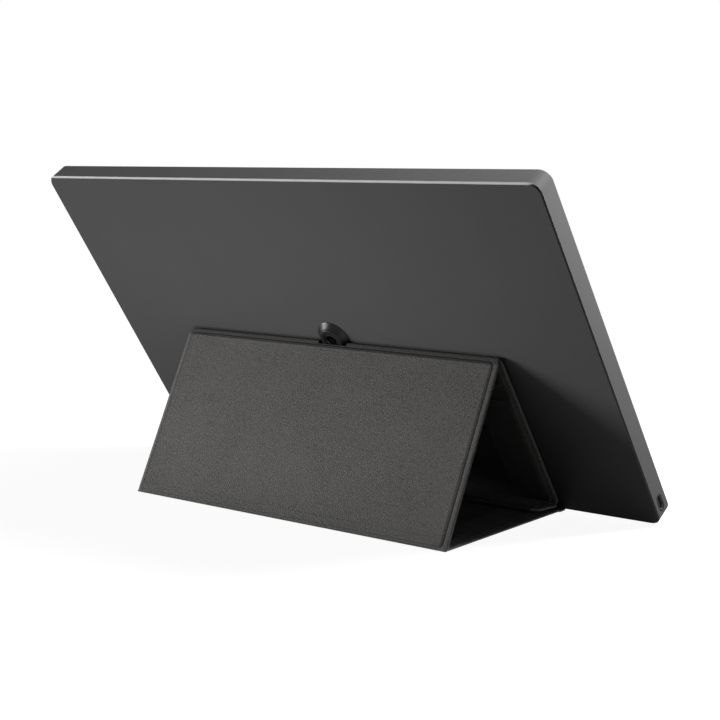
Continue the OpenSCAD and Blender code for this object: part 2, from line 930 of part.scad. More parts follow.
// ---- Folds: bonded leather that goes round the turning line from one skin to the next ----

// Counted from +Y towards +Z, the strip covers the angles between the outer faces of two panels
module fold_strip(fold_y, fold_z, from, to) {
    span = to - from;
    reach = 3 * cover_t;
    tail_end = fold_half - tail_step;
    translate([0, fold_y - frame_y, fold_z])
        rotate([from, 0, 0]) {
            intersection() {
                rotate([0, 90, 0]) difference() {
                    cylinder(h = cover_w, r = cover_t, center = true);
                    cylinder(h = cover_w + 2 * cut, r = inner_r, center = true);
                }
                rotate([90, 0, 90])
                    linear_extrude(cover_w + 2 * cut, center = true)
                        polygon([
                            [0, 0], [reach, 0], [reach * cos(span / 2), reach * sin(span / 2)],
                            [reach * cos(span), reach * sin(span)]
                        ]);
            }
            box_at(cover_w, inner_r + tail_step, cover_t - tail_step, -tail_end, tail_lap);
            rotate([span, 0, 0])
                box_at(cover_w, inner_r + tail_step, cover_t - tail_step, -tail_lap, tail_end);
        }
}

module apex_fold() {
    color(leather) difference() {
        fold_strip(apex_y, apex_z, rear_angle + 90, back_angle + 90);
        boss_opening();
    }
}

module rear_fold() {
    color(leather) fold_strip(rear_y, rear_z, -90, rear_angle + 90);
}

module corner_fold() {
    color(leather) fold_strip(corner_y, corner_z, back_angle + 90, 270 + flap_lift);
}

rear_housing();
front_bezel();
display_cell();
diffuser_films();
light_guide();
reflector_film();
led_strip();
backlight_tray();
timing_board();
main_board();
board_parts();
board_shield();
heat_pad();
ribbon_cable();
side_board();
side_cable();
usb_c_receptacle();
mini_hdmi_receptacle();
key_switches();
power_key();
menu_key_low();
menu_key_high();
socket_boss();
socket_insert();
socket_nut();
holding_magnets();
board_screws();
back_panel_skin();
long_back_board();
short_back_board();
back_panel_lining();
back_panel_magnets();
rear_panel_skin();
rear_board();
rear_panel_lining();
base_panel_skin();
base_lip();
base_board();
base_panel_lining();
base_magnets();
flap_skin();
flap_board();
flap_lining();
flap_magnets();
apex_fold();
rear_fold();
corner_fold();
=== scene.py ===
"""Looks for the portable monitor that leans on its folded cover.

Every size here is in millimetres, on the monitor or on one panel of the cover, until a placement
turns it into metres in the frame that the CAD part uses.
"""

from __future__ import annotations

import logging
import math
from dataclasses import dataclass
from enum import Enum
from typing import Any, Protocol, Sequence

import bpy
import numpy as np
from mathutils import Matrix, Vector


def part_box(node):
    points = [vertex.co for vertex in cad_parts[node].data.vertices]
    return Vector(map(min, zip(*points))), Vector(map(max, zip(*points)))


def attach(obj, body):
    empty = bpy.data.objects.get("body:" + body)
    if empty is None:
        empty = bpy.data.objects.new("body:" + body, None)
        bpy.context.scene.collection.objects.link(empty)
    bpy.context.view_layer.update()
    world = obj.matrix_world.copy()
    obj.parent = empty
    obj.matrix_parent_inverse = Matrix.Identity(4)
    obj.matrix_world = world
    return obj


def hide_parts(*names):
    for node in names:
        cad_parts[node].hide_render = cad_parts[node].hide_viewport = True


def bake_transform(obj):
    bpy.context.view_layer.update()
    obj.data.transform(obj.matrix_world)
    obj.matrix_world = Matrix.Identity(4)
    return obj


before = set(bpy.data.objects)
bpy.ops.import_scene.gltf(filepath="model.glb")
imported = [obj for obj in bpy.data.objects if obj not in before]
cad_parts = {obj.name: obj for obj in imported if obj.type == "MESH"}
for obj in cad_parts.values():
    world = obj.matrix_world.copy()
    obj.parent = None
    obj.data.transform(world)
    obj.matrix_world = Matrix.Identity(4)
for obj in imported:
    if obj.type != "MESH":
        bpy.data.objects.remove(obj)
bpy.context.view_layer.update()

LOG = logging.getLogger("portable_monitor")
MM = 0.001

Array = np.ndarray
Pair = tuple[float, float]
Triple = tuple[float, float, float]
Colour = Triple


# ---- Sizes that the pieces share, as the part's source has them ----


@dataclass(frozen=True)
class CoverSizes:
    """Sizes of the folded cover, in millimetres and degrees."""

    width: float = 235.4
    thick: float = 3.0
    skin: float = 0.9
    lining: float = 0.6
    hem: float = 3.6
    hem_thick: float = 1.7
    hem_drop: float = 0.4
    rim: float = 1.2
    field_corner: float = 3.0
    fold_hem: float = 0.7
    fold_half: float = 2.598
    back_length: float = 101.5
    rear_length: float = 100.2
    flap_length: float = 21.0
    flap_hem: float = 3.3
    flap_lift: float = 3.5
    crease: float = 7.5
    short_board: float = 13.0
    strip_width: float = 23.0
    strip_height: float = 0.22
    strip_in: float = 0.6
    lining_in: float = 0.3
    overlap: float = 0.05
    lip_thick: float = 1.1
    lip_radius: float = 4.0
    lip_edge: float = 0.45
    lip_reach: float = 3.5
    base_set_back: float = 4.5

    @property
    def hem_low(self) -> float:
        """Height of the hem's inner face."""
        return self.thick - self.hem_drop - self.hem_thick

    @property
    def short_start(self) -> float:
        """Where the short back board starts, from the corner fold."""
        return self.back_length - self.fold_half - self.fold_hem - self.short_board

    @property
    def long_end(self) -> float:
        """Where the long back board ends, from the corner fold."""
        return self.short_start - self.crease


@dataclass(frozen=True)
class MonitorSizes:
    """Sizes of the monitor, in millimetres and degrees."""

    width: float = 360.0
    height: float = 226.0
    tilt: float = 32.5
    side_wall: float = 1.6
    boss_up: float = 115.496
    port_depth: float = 5.9
    frame_y: float = 55.52393
    foot_z: float = 0.67016


COVER = CoverSizes()
MONITOR = MonitorSizes()

# How far the rear fold lies behind the monitor's foot, and how far up its back the apex fold comes.
REAR_Y = 108.8459
APEX_UP = 110.596

# The turning lines of the folds in the frame, as y and height, and the angles of the panels.
CORNER = (8.0922 - MONITOR.frame_y, 6.3)
APEX = (62.6281 - MONITOR.frame_y, 91.9042)
REAR = (REAR_Y - MONITOR.frame_y, 3.0)
BACK_ANGLE = 90.0 - MONITOR.tilt
REAR_ANGLE = -math.degrees(math.acos((REAR[0] - APEX[0]) / COVER.rear_length))
BASE_ANGLE = 180.0


# ---- Placements: from local millimetres to metres in the shared frame ----


class Placement(Protocol):
    """Anything that turns local points into points of the shared frame."""

    def place(self, across: Array, along: Array, out: Array) -> Array:
        """Gives points in metres for three arrays of local millimetres."""


@dataclass(frozen=True)
class OnMonitor:
    """Local frame of the monitor: across to the right seen from behind, up its back, out of its back."""

    sizes: MonitorSizes = MONITOR

    def place(self, across: Array, along: Array, out: Array) -> Array:
        """Turns the upright monitor by its tilt and sets it on its lip.

        Args:
            across: Millimetres to the right, seen from behind.
            along: Millimetres up the back from the bottom edge.
            out: Millimetres out of the back.

        Returns:
            Points in metres, the three numbers on the last axis.
        """
        lean = math.radians(self.sizes.tilt)
        y = out * math.cos(lean) + along * math.sin(lean) - self.sizes.frame_y
        z = along * math.cos(lean) - out * math.sin(lean) + self.sizes.foot_z
        return np.stack(np.broadcast_arrays(-across, y, z), axis=-1) * MM


@dataclass(frozen=True)
class OnPanel:
    """Local frame of one flat panel of the cover: across, along from its fold, out from the lining."""

    fold: Pair
    angle: float
    turned: bool = False

    def place(self, across: Array, along: Array, out: Array) -> Array:
        """Turns the panel about its fold; a turned panel has its skin on the other side.

        Args:
            across: Millimetres across the panel from its middle.
            along: Millimetres from the fold.
            out: Millimetres out from the lining's face.

        Returns:
            Points in metres, the three numbers on the last axis.
        """
        side = -1.0 if self.turned else 1.0
        turn = math.radians(self.angle)
        y = along * math.cos(turn) - side * out * math.sin(turn) + self.fold[0]
        z = along * math.sin(turn) + side * out * math.cos(turn) + self.fold[1]
        return np.stack(np.broadcast_arrays(side * across, y, z), axis=-1) * MM


@dataclass(frozen=True)
class FoldLine:
    """The stations of a path round a fold, one number for each station.

    The outer points lie on the cover's full thickness. The two reaches are lengths past the fold
    on the first and before it on the last panel, and the inner numbers say where the lining goes.
    """

    length: Array
    y: Array
    z: Array
    face: Array
    past_first: Array
    past_last: Array
    inner_face: Array
    inner_shift: Array

    def at(self, length: Array) -> "FoldLine":
        """Gives the path's numbers at other lengths along it.

        Args:
            length: Lengths along the path, of any shape.

        Returns:
            The path at those lengths.
        """
        first = (self.y, self.z, self.face, self.past_first)
        parts = (*first, self.past_last, self.inner_face, self.inner_shift)
        return FoldLine(length, *(np.interp(length, self.length, part) for part in parts))


@dataclass(frozen=True)
class RoundFold:
    """Path round a fold: along the first panel's face, round a corner, and along the last one's.

    Both faces stand off from the fold by the cover's thickness. The facing angle counts from the
    rear towards the top and falls from the first to the last.
    """

    fold: Pair
    first: float
    last: float
    corner: float
    tail: float = COVER.fold_half
    step: float = 0.22
    turn: float = 6.0

    def line(self) -> FoldLine:
        """Works out the stations from the two faces and the arc that touches both.

        Returns:
            The path.
        """
        thick = COVER.thick
        half = math.radians(self.first - self.last) / 2.0
        middle = math.radians((self.first + self.last) / 2.0)
        reach = (thick - self.corner) * math.tan(half)
        centre = (thick - self.corner) / math.cos(half)
        straight = np.linspace(-self.tail, reach, int((self.tail + reach) / self.step) + 2)
        turns = np.linspace(self.first, self.last, int((self.first - self.last) / self.turn) + 2)[1:-1]
        arc = self.corner * np.radians(self.first - turns)
        bent = 2.0 * (reach + self.corner * half)
        past_first = np.concatenate([straight, reach + arc, bent - straight[::-1]])
        past_last = past_first - bent
        count = len(straight)
        face = np.concatenate([np.full(count, self.first), turns, np.full(count, self.last)])
        angle = np.radians(face)
        on_face = np.concatenate([straight, np.zeros(len(turns)), -straight[::-1]])
        y = thick * np.cos(angle) + on_face * np.sin(angle)
        z = thick * np.sin(angle) - on_face * np.cos(angle)
        bend = slice(count, count + len(turns))
        y[bend] = centre * math.cos(middle) + self.corner * np.cos(angle[bend])
        z[bend] = centre * math.sin(middle) + self.corner * np.sin(angle[bend])
        inner_face = self.first + (self.last - self.first) * np.clip(past_first / bent, 0.0, 1.0)
        inner_shift = np.where(past_first < 0.0, past_first, np.clip(past_last, 0.0, None))
        y, z = y + self.fold[0], z + self.fold[1]
        length = past_first - past_first[0]
        return FoldLine(length, y, z, face, past_first, past_last, inner_face, inner_shift)

    def outer(self, line: FoldLine, across: Array, drop: Array) -> Array:
        """Gives points under the outer face: the path's point less a drop along its facing.

        Args:
            line: The path at every point.
            across: Millimetres across from the middle.
            drop: Millimetres below the cover's full thickness.

        Returns:
            Points in metres, the three numbers on the last axis.
        """
        face = np.radians(line.face)
        y = line.y - drop * np.cos(face)
        z = line.z - drop * np.sin(face)
        return np.stack(np.broadcast_arrays(across, y, z), axis=-1) * MM

    def inner(self, line: FoldLine, across: Array, out: Array) -> Array:
        """Gives points of the inner face: out from the fold, shifted along the panel it belongs to.

        Args:
            line: The path at every point.
            across: Millimetres across from the middle.
            out: Millimetres out from the fold's turning line.

        Returns:
            Points in metres, the three numbers on the last axis.
        """
        face = np.radians(line.inner_face)
        y = self.fold[0] + out * np.cos(face) + line.inner_shift * np.sin(face)
        z = self.fold[1] + out * np.sin(face) - line.inner_shift * np.cos(face)
        return np.stack(np.broadcast_arrays(across, y, z), axis=-1) * MM

    def end(self, first: bool) -> Triple:
        """Gives the point in metres on the cover's face where the fold's bend starts or ends.

        Args:
            first: Whether it is the start of the bend, on the first panel.

        Returns:
            The point.
        """
        angle = math.radians(self.first if first else self.last)
        y = self.fold[0] + COVER.thick * math.cos(angle)
        z = self.fold[1] + COVER.thick * math.sin(angle)
        return (0.0, y * MM, z * MM)


# ---- Surfaces on grids ----


# How far in from a rounded edge its stations stand, and the radius of the leather's own edges.
RIM = np.array([0.0, 0.02, 0.06, 0.13, 0.22, 0.34, 0.5])
EDGE_RADIUS = 0.75


def smooth_step(value: Array, low: float, high: float) -> Array:
    """Rises from 0 to 1 between low and high as 3t^2 - 2t^3."""
    t = np.clip((value - low) / (high - low), 0.0, 1.0)
    return t * t * (3.0 - 2.0 * t)


def ridge(value: Array, centre: float, width: float) -> Array:
    """A bell of height 1 round the centre: exp(-((value - centre) / width)^2)."""
    return np.exp(-(((value - centre) / width) ** 2))


def edge_fall(distance: Array, radius: float) -> Array:
    """How far a rounded edge has fallen at a distance from it: r - sqrt(r^2 - (r - d)^2)."""
    inside = np.clip(radius - distance, 0.0, radius)
    return radius - np.sqrt(np.clip(radius**2 - inside**2, 0.0, None))


def rubbed(edge: Array) -> Array:
    """How rubbed the leather is at a distance from its edge: 1 on the edge, 0 from 0.9 mm in."""
    return smooth_step(edge, 0.9, 0.15)


def both_sides(right: Array) -> Array:
    """Adds the mirrored stations on the left to the stations from the middle to the right."""
    return np.concatenate([-right[:0:-1], right])


def inside_rectangle(x: Array, s: Array, half: float, low: float, high: float, radius: float) -> Array:
    """Signed distance to a rectangle with round corners, positive inside it.

    Args:
        x: Millimetres across from the middle.
        s: Millimetres along.
        half: Half the rectangle's width.
        low: Where it starts along.
        high: Where it ends along.
        radius: Radius of its corners.

    Returns:
        Millimetres to the outline.
    """
    a = np.abs(x) - (half - radius)
    b = np.abs(s - (low + high) / 2.0) - ((high - low) / 2.0 - radius)
    outer = np.hypot(np.clip(a, 0.0, None), np.clip(b, 0.0, None))
    return radius - outer - np.clip(np.maximum(a, b), None, 0.0)


def spread(
    low: float, high: float, coarse: float, fine: float, near: Sequence[float], reach: float
) -> Array:
    """Stations between two ends, close together round the named places.

    Args:
        low: First station.
        high: Last station.
        coarse: Largest distance between stations.
        fine: Distance between stations round the named places.
        near: The places that need close stations.
        reach: How far the close stations go on both sides of a place.

    Returns:
        Rising stations in millimetres.
    """
    parts = [np.linspace(low, high, max(2, int((high - low) / coarse) + 1))]
    for place in near:
        parts.append(np.arange(place - reach, place + reach + fine / 2, fine))
    all_stations = np.unique(np.round(np.clip(np.concatenate(parts), low, high), 3))
    keep = np.concatenate([[True], np.diff(all_stations) > 0.4 * fine])
    keep[-1] = True
    return all_stations[keep]


def relief(distance: Array, drop: float) -> tuple[Array, Array]:
    """The leather's step from a hem up to a field over a board, with a pressed line at both its feet.

    The drop below the field is drop * (1 - rise) plus two bells, and a soft swell inside the edge.

    Args:
        distance: Signed distance to the field's outline, positive inside.
        drop: How far the hem lies below the field.

    Returns:
        The drop below the field's face, and the wear and shade: painted shade in both pressed lines and on
        the step's slope, and a little lighter wear on the hem.
    """
    low_foot, high_foot, line, swell_in, swell = -0.62, 0.72, 0.26, 1.7, 0.04
    rise = smooth_step(distance, -0.55, 0.6)
    low_line = ridge(distance, low_foot, line)
    high_line = ridge(distance, high_foot, line)
    fall = drop * (1.0 - rise) + swell * (rise - ridge(distance, swell_in, 0.6))
    fall = fall + 0.14 * low_line + 0.12 * high_line
    slope_shade = 4.0 * rise * (1.0 - rise)
    # Painted shade: the pressed lines and the step's slope get values below 0, which the leather darkens.
    wear_and_shade = -low_line - 0.9 * high_line - 0.4 * slope_shade + 0.12 * (1.0 - rise)
    return fall, wear_and_shade


def sheet_faces(rows: int, columns: int, start: int = 0) -> Array:
    """Quads of a grid of rows and columns, facing row direction x column direction.

    Args:
        rows: Number of rows.
        columns: Number of columns.
        start: Number of the grid's first point.

    Returns:
        Four point numbers for each quad.
    """
    i, j = np.meshgrid(np.arange(rows - 1), np.arange(columns - 1), indexing="ij")
    first = start + i * columns + j
    second = first + columns
    return np.stack([first, second, second + 1, first + 1], axis=-1).reshape(-1, 4)


def wrap_faces(rows: int, columns: int, closed: bool = False) -> Array:
    """Quads of a grid whose columns close on themselves, and its rows too where it is closed.

    Args:
        rows: Number of rows.
        columns: Number of columns.
        closed: Whether the last row joins the first.

    Returns:
        Four point numbers for each quad.
    """
    i, j = np.meshgrid(np.arange(rows if closed else rows - 1), np.arange(columns), indexing="ij")
    row, below, after = i * columns, (i + 1) % rows * columns, (j + 1) % columns
    return np.stack([row + j, below + j, below + after, row + after], axis=-1).reshape(-1, 4)


def end_faces(rows: int, columns: int) -> list[Array]:
    """The two flat ends of a grid whose columns close on themselves."""
    ring = np.arange(columns)[None, :]
    return [ring, (ring + (rows - 1) * columns)[:, ::-1]]


def slab_faces(rows: int, columns: int) -> Array:
    """Quads of a closed slab: an upper grid, a lower grid turned over, and the wall between them.

    Args:
        rows: Rows of each grid.
        columns: Columns of each grid.

    Returns:
        Four point numbers for each quad.
    """
    count = rows * columns
    upper = sheet_faces(rows, columns)
    lower = sheet_faces(rows, columns, count)[:, ::-1]
    i, j = np.arange(rows), np.arange(columns)
    loop = np.concatenate(
        [i[:-1] * columns, (rows - 1) * columns + j[:-1], i[:0:-1] * columns + columns - 1, j[:0:-1]]
    )
    after = np.roll(loop, -1)
    wall = np.stack([loop, loop + count, after + count, after], axis=-1)
    return np.concatenate([upper, lower, wall])


def add_piece(
    name: str, points: Array, faces: Sequence[Array], wear_and_shade: Array | None = None
) -> bpy.types.Object:
    """Puts arrays of points and faces into a new smooth mesh object at the origin.

    Args:
        name: The piece's name.
        points: Points in metres.
        faces: Arrays of faces; each array has one number of corners.
        wear_and_shade: How worn each point is above 0, up to 1 on an edge, and how much shade is painted on
            it below 0, down to -1 in a groove.

    Returns:
        The new object, linked to the scene.
    """
    flat = points.reshape(-1, 3)
    sizes = np.concatenate([np.full(len(part), part.shape[1]) for part in faces])
    corners = np.concatenate([part.reshape(-1) for part in faces])
    mesh = bpy.data.meshes.new(name)
    mesh.vertices.add(len(flat))
    mesh.vertices.foreach_set("co", flat.astype(np.float32).ravel())
    mesh.loops.add(len(corners))
    mesh.loops.foreach_set("vertex_index", corners.astype(np.int32))
    mesh.polygons.add(len(sizes))
    starts = np.concatenate([[0], np.cumsum(sizes)[:-1]])
    mesh.polygons.foreach_set("loop_start", starts.astype(np.int32))
    mesh.polygons.foreach_set("use_smooth", np.ones(len(sizes), dtype=bool))
    mesh.update(calc_edges=True)
    mesh.validate()
    layer = mesh.attributes.new("wear_and_shade", "FLOAT", "POINT")
    values = np.zeros(len(flat)) if wear_and_shade is None else wear_and_shade.reshape(-1)
    layer.data.foreach_set("value", values.astype(np.float32))
    piece = bpy.data.objects.new(name, mesh)
    bpy.context.scene.collection.objects.link(piece)
    return piece


def sharpen(piece: bpy.types.Object, angle: float = 40.0) -> None:
    """Keeps the edges of a piece that turn more than the angle in degrees sharp."""
    piece.data.set_sharp_from_angle(angle=math.radians(angle))


# ---- Finishes ----


class Shader:
    """A material's nodes, with the recipes that the finishes share."""

    def __init__(self, name: str) -> None:
        """Starts a material with one surface shader that reads Object coordinates.

        Args:
            name: The material's name.
        """
        self.material = bpy.data.materials.new(name)
        self.material.use_nodes = True
        self.nodes = self.material.node_tree.nodes
        self.nodes.clear()
        self.output = self.nodes.new("ShaderNodeOutputMaterial")
        self.surface = self.nodes.new("ShaderNodeBsdfPrincipled")
        self.link(self.surface.outputs["BSDF"], self.output.inputs["Surface"])
        self.place = self.nodes.new("ShaderNodeTexCoord").outputs["Object"]

    def link(self, source: Any, target: Any) -> None:
        """Joins an output to an input."""
        self.material.node_tree.links.new(source, target)

    def feed(self, target: Any, value: Any) -> None:
        """Links an output to an input, or sets the input's own value.

        Args:
            target: The input.
            value: An output, a plain value, or None to leave the input as it is.
        """
        if isinstance(value, bpy.types.NodeSocket):
            self.link(value, target)
        elif value is not None:
            target.default_value = value

    def set(self, **values: Any) -> None:
        """Sets or links the surface shader's sockets by name, with _ for a space."""
        for name, value in values.items():
            self.feed(self.surface.inputs[name.replace("_", " ")], value)

    def turned(self, angles: Triple, scale: Triple = (1.0, 1.0, 1.0)) -> Any:
        """Gives Object coordinates turned by angles in degrees and scaled.

        Args:
            angles: Turns about x, y and z.
            scale: Scale along x, y and z.

        Returns:
            The output with the vector.
        """
        node = self.nodes.new("ShaderNodeMapping")
        node.inputs["Rotation"].default_value = tuple(math.radians(a) for a in angles)
        node.inputs["Scale"].default_value = scale
        self.link(self.place, node.inputs["Vector"])
        return node.outputs["Vector"]

    def noise(self, size: float, detail: float = 2.0, rough: float = 0.5, at: Any = None) -> Any:
        """Gives noise with features of a size in millimetres.

        Args:
            size: Size of the features.
            detail: How many finer layers it has.
            rough: How strong the finer layers are.
            at: The vector to read, or None for Object coordinates.

        Returns:
            The output with the noise.
        """
        node = self.nodes.new("ShaderNodeTexNoise")
        node.inputs["Scale"].default_value = 1.0 / (size * MM)
        node.inputs["Detail"].default_value = detail
        node.inputs["Roughness"].default_value = rough
        self.link(at or self.place, node.inputs["Vector"])
        return node.outputs["Fac"]

    def cells(self, size: float, edges: bool, at: Any = None) -> Any:
        """Gives the distance in cells of a size in millimetres, from their edges or their middles.

        Args:
            size: Size of the cells.
            edges: Whether the distance counts from the edges.
            at: The vector to read, or None for Object coordinates.

        Returns:
            The output with the distance.
        """
        node = self.nodes.new("ShaderNodeTexVoronoi")
        node.feature = "DISTANCE_TO_EDGE" if edges else "F1"
        node.inputs["Scale"].default_value = 1.0 / (size * MM)
        self.link(at or self.place, node.inputs["Vector"])
        return node.outputs["Distance"]

    def waves(self, size: float, at: Any, direction: str = "X", warp: float = 0.0) -> Any:
        """Gives bands of a width in millimetres along a direction.

        Args:
            size: Width of a band.
            at: The vector to read.
            direction: The axis across the bands.
            warp: How much the bands wander.

        Returns:
            The output with the bands.
        """
        node = self.nodes.new("ShaderNodeTexWave")
        node.bands_direction = direction
        node.inputs["Scale"].default_value = 0.314 / (size * MM)
        node.inputs["Distortion"].default_value = warp
        self.link(at, node.inputs["Vector"])
        return node.outputs["Fac"]

    def sums(self, kind: str, first: Any, second: Any = None, third: Any = None) -> Any:
        """Gives a Math node of a kind over one to three values.

        Args:
            kind: The node's operation.
            first: An output or a number.
            second: An output, a number or None.
            third: An output, a number or None.

        Returns:
            The output with the result.
        """
        node = self.nodes.new("ShaderNodeMath")
        node.operation = kind
        for socket, value in zip(node.inputs, (first, second, third)):
            self.feed(socket, value)
        return node.outputs[0]

    def range(self, value: Any, low: float, high: float, to_low: float, to_high: float) -> Any:
        """Maps a value from one range to another and clamps it.

        Args:
            value: The output to map.
            low: Start of its range.
            high: End of its range.
            to_low: What the start becomes.
            to_high: What the end becomes.

        Returns:
            The output with the result.
        """
        node = self.nodes.new("ShaderNodeMapRange")
        self.link(value, node.inputs["Value"])
        ends = {"From Min": low, "From Max": high, "To Min": to_low, "To Max": to_high}
        for name, number in ends.items():
            node.inputs[name].default_value = number
        return node.outputs["Result"]

    def blend(self, share: Any, first: Any, second: Any) -> Any:
        """Mixes two colours by a share.

        Args:
            share: How much of the second there is, from 0 to 1.
            first: An output or a colour.
            second: An output or a colour.

        Returns:
            The output with the colour.
        """
        node = self.nodes.new("ShaderNodeMix")
        node.data_type = "RGBA"
        self.feed(node.inputs[0], share)
        for socket, value in zip((node.inputs[6], node.inputs[7]), (first, second)):
            self.feed(socket, (*value, 1.0) if isinstance(value, tuple) else value)
        return node.outputs[2]

    def moved(self, amount: float, size: float) -> Any:
        """Gives Object coordinates pushed about by noise, both in millimetres.

        Args:
            amount: How far they are pushed.
            size: Size of the noise's features.

        Returns:
            The output with the vector.
        """
        node = self.nodes.new("ShaderNodeTexNoise")
        node.inputs["Scale"].default_value = 1.0 / (size * MM)
        self.link(self.place, node.inputs["Vector"])
        shift = self.nodes.new("ShaderNodeVectorMath")
        shift.operation = "MULTIPLY_ADD"
        self.link(node.outputs["Color"], shift.inputs[0])
        shift.inputs[1].default_value = (amount * MM,) * 3
        self.link(self.place, shift.inputs[2])
        return shift.outputs["Vector"]

    def parts(self, vector: Any) -> Any:
        """Splits a vector into its three numbers.

        Args:
            vector: The output to split.

        Returns:
            The three outputs.
        """
        node = self.nodes.new("ShaderNodeSeparateXYZ")
        self.link(vector, node.inputs["Vector"])
        return node.outputs

    def wear_and_shade_map(self) -> Any:
        """Gives the piece's own wear and painted shade, from -1 (painted shade) in a groove to 1 (wear) on
        an edge.

        Returns:
            The output with the wear and painted shade.
        """
        node = self.nodes.new("ShaderNodeAttribute")
        node.attribute_name = "wear_and_shade"
        return node.outputs["Fac"]

    def tones(self, value: Any, low: float, high: float, colour: Colour, dark: float, light: float) -> Any:
        """Gives shades of a colour, from dark where the value is low to light where it is high."""
        share = self.range(value, low, high, 0.0, 1.0)
        return self.blend(share, shade(colour, dark), shade(colour, light))

    def over(self, value: Any, low: float, high: float, most: float, under: Any, colour: Colour) -> Any:
        """Lays a colour over another one, by none at the value's low end and by most at its high end."""
        return self.blend(self.range(value, low, high, 0.0, most), under, colour)

    def bump(self, height: Any, depth: float, strength: float) -> Any:
        """Gives a normal from a height, with a depth in millimetres.

        Args:
            height: The output with the height.
            depth: Depth of a height of 1.
            strength: How much of the bump shows.

        Returns:
            The output with the normal.
        """
        node = self.nodes.new("ShaderNodeBump")
        node.inputs["Distance"].default_value = depth * MM
        node.inputs["Strength"].default_value = strength
        self.link(height, node.inputs["Height"])
        return node.outputs["Normal"]


class Finish(Protocol):
    """Anything that can be made into a material."""

    name: str

    def make(self) -> bpy.types.Material:
        """Builds the finish's material."""


def shade(colour: Colour, share: float) -> Colour:
    """Gives a colour made darker or lighter by a share."""
    return tuple(min(1.0, part * share) for part in colour)


@dataclass(frozen=True)
class Leather:
    """Fine-grained coated leather: small cells with creases, soft mottling, rubbed edges and painted shade.
    """

    name: str = "cover_leather"
    colour: Colour = (0.112, 0.109, 0.104)
    cell: float = 1.0
    depth: float = 0.14
    fine: float = 0.28
    cloud: float = 38.0
    # Painted shade where the wear and shade is below 0: how much of the way it goes, and to what share of
    # the colour.
    groove_shade: Pair = (0.96, 0.08)

    def make(self) -> bpy.types.Material:
        """Builds the leather from cells, noise and the piece's own wear and painted shade.

        Returns:
            The material.
        """
        s = Shader(self.name)
        crease = s.range(s.cells(self.cell, True, s.moved(0.35, 1.6)), 0.0, 0.3, 0.0, 1.0)
        grain = s.sums("MULTIPLY_ADD", s.noise(self.fine, 3.0, 0.6), 0.35, crease)
        base = s.blend(crease, shade(self.colour, 0.3), shade(self.colour, 1.3))
        cloud = s.noise(self.cloud, 4.0, 0.6)
        mottled = s.over(cloud, 0.3, 0.7, 0.35, base, shade(self.colour, 1.22))
        wear_and_shade = s.wear_and_shade_map()
        paler = s.over(wear_and_shade, 0.0, 1.0, 0.45, mottled, shade(self.colour, 1.9))
        # Painted shade: below 0 the colour darkens towards the given share of itself, in the pressed lines,
        # on their steps and along the apex fold.
        share, dark = self.groove_shade
        groove_shade = s.blend(s.range(wear_and_shade, -1.0, 0.0, share, 0.0), paler, shade(self.colour, dark))
        rough = s.range(grain, 0.0, 1.35, 0.64, 0.5)
        calmer = s.sums("MULTIPLY_ADD", s.range(wear_and_shade, 0.0, 1.0, 0.0, 1.0), -0.1, rough)
        s.set(
            Base_Color=groove_shade,
            Roughness=calmer,
            Normal=s.bump(grain, self.depth, 0.8),
            Specular_IOR_Level=0.2,
            Sheen_Weight=0.04,
            Sheen_Roughness=0.5,
        )
        return s.material


@dataclass(frozen=True)
class Lining:
    """Short-napped microfibre: very fine fuzz with patches brushed one way."""

    name: str = "cover_lining"
    colour: Colour = (0.032, 0.031, 0.03)
    nap: float = 0.22
    patch: float = 14.0

    def make(self) -> bpy.types.Material:
        """Builds the nap from two sizes of noise with a sheen.

        Returns:
            The material.
        """
        s = Shader(self.name)
        nap = s.noise(self.nap, 3.0, 0.7)
        brushed = s.noise(self.patch, 3.0, 0.55, s.turned((0, 0, 20), (1.0, 3.0, 3.0)))
        base = s.tones(nap, 0.25, 0.75, self.colour, 0.7, 1.2)
        patchy = s.over(brushed, 0.35, 0.65, 0.4, base, shade(self.colour, 1.5))
        edged = s.over(s.wear_and_shade_map(), 0.0, 1.0, 0.5, patchy, shade(self.colour, 2.2))
        s.set(
            Base_Color=edged,
            Roughness=s.range(nap, 0.2, 0.8, 0.82, 0.95),
            Normal=s.bump(nap, 0.06, 0.5),
            Specular_IOR_Level=0.15,
            Sheen_Weight=0.08,
            Sheen_Roughness=0.4,
        )
        return s.material


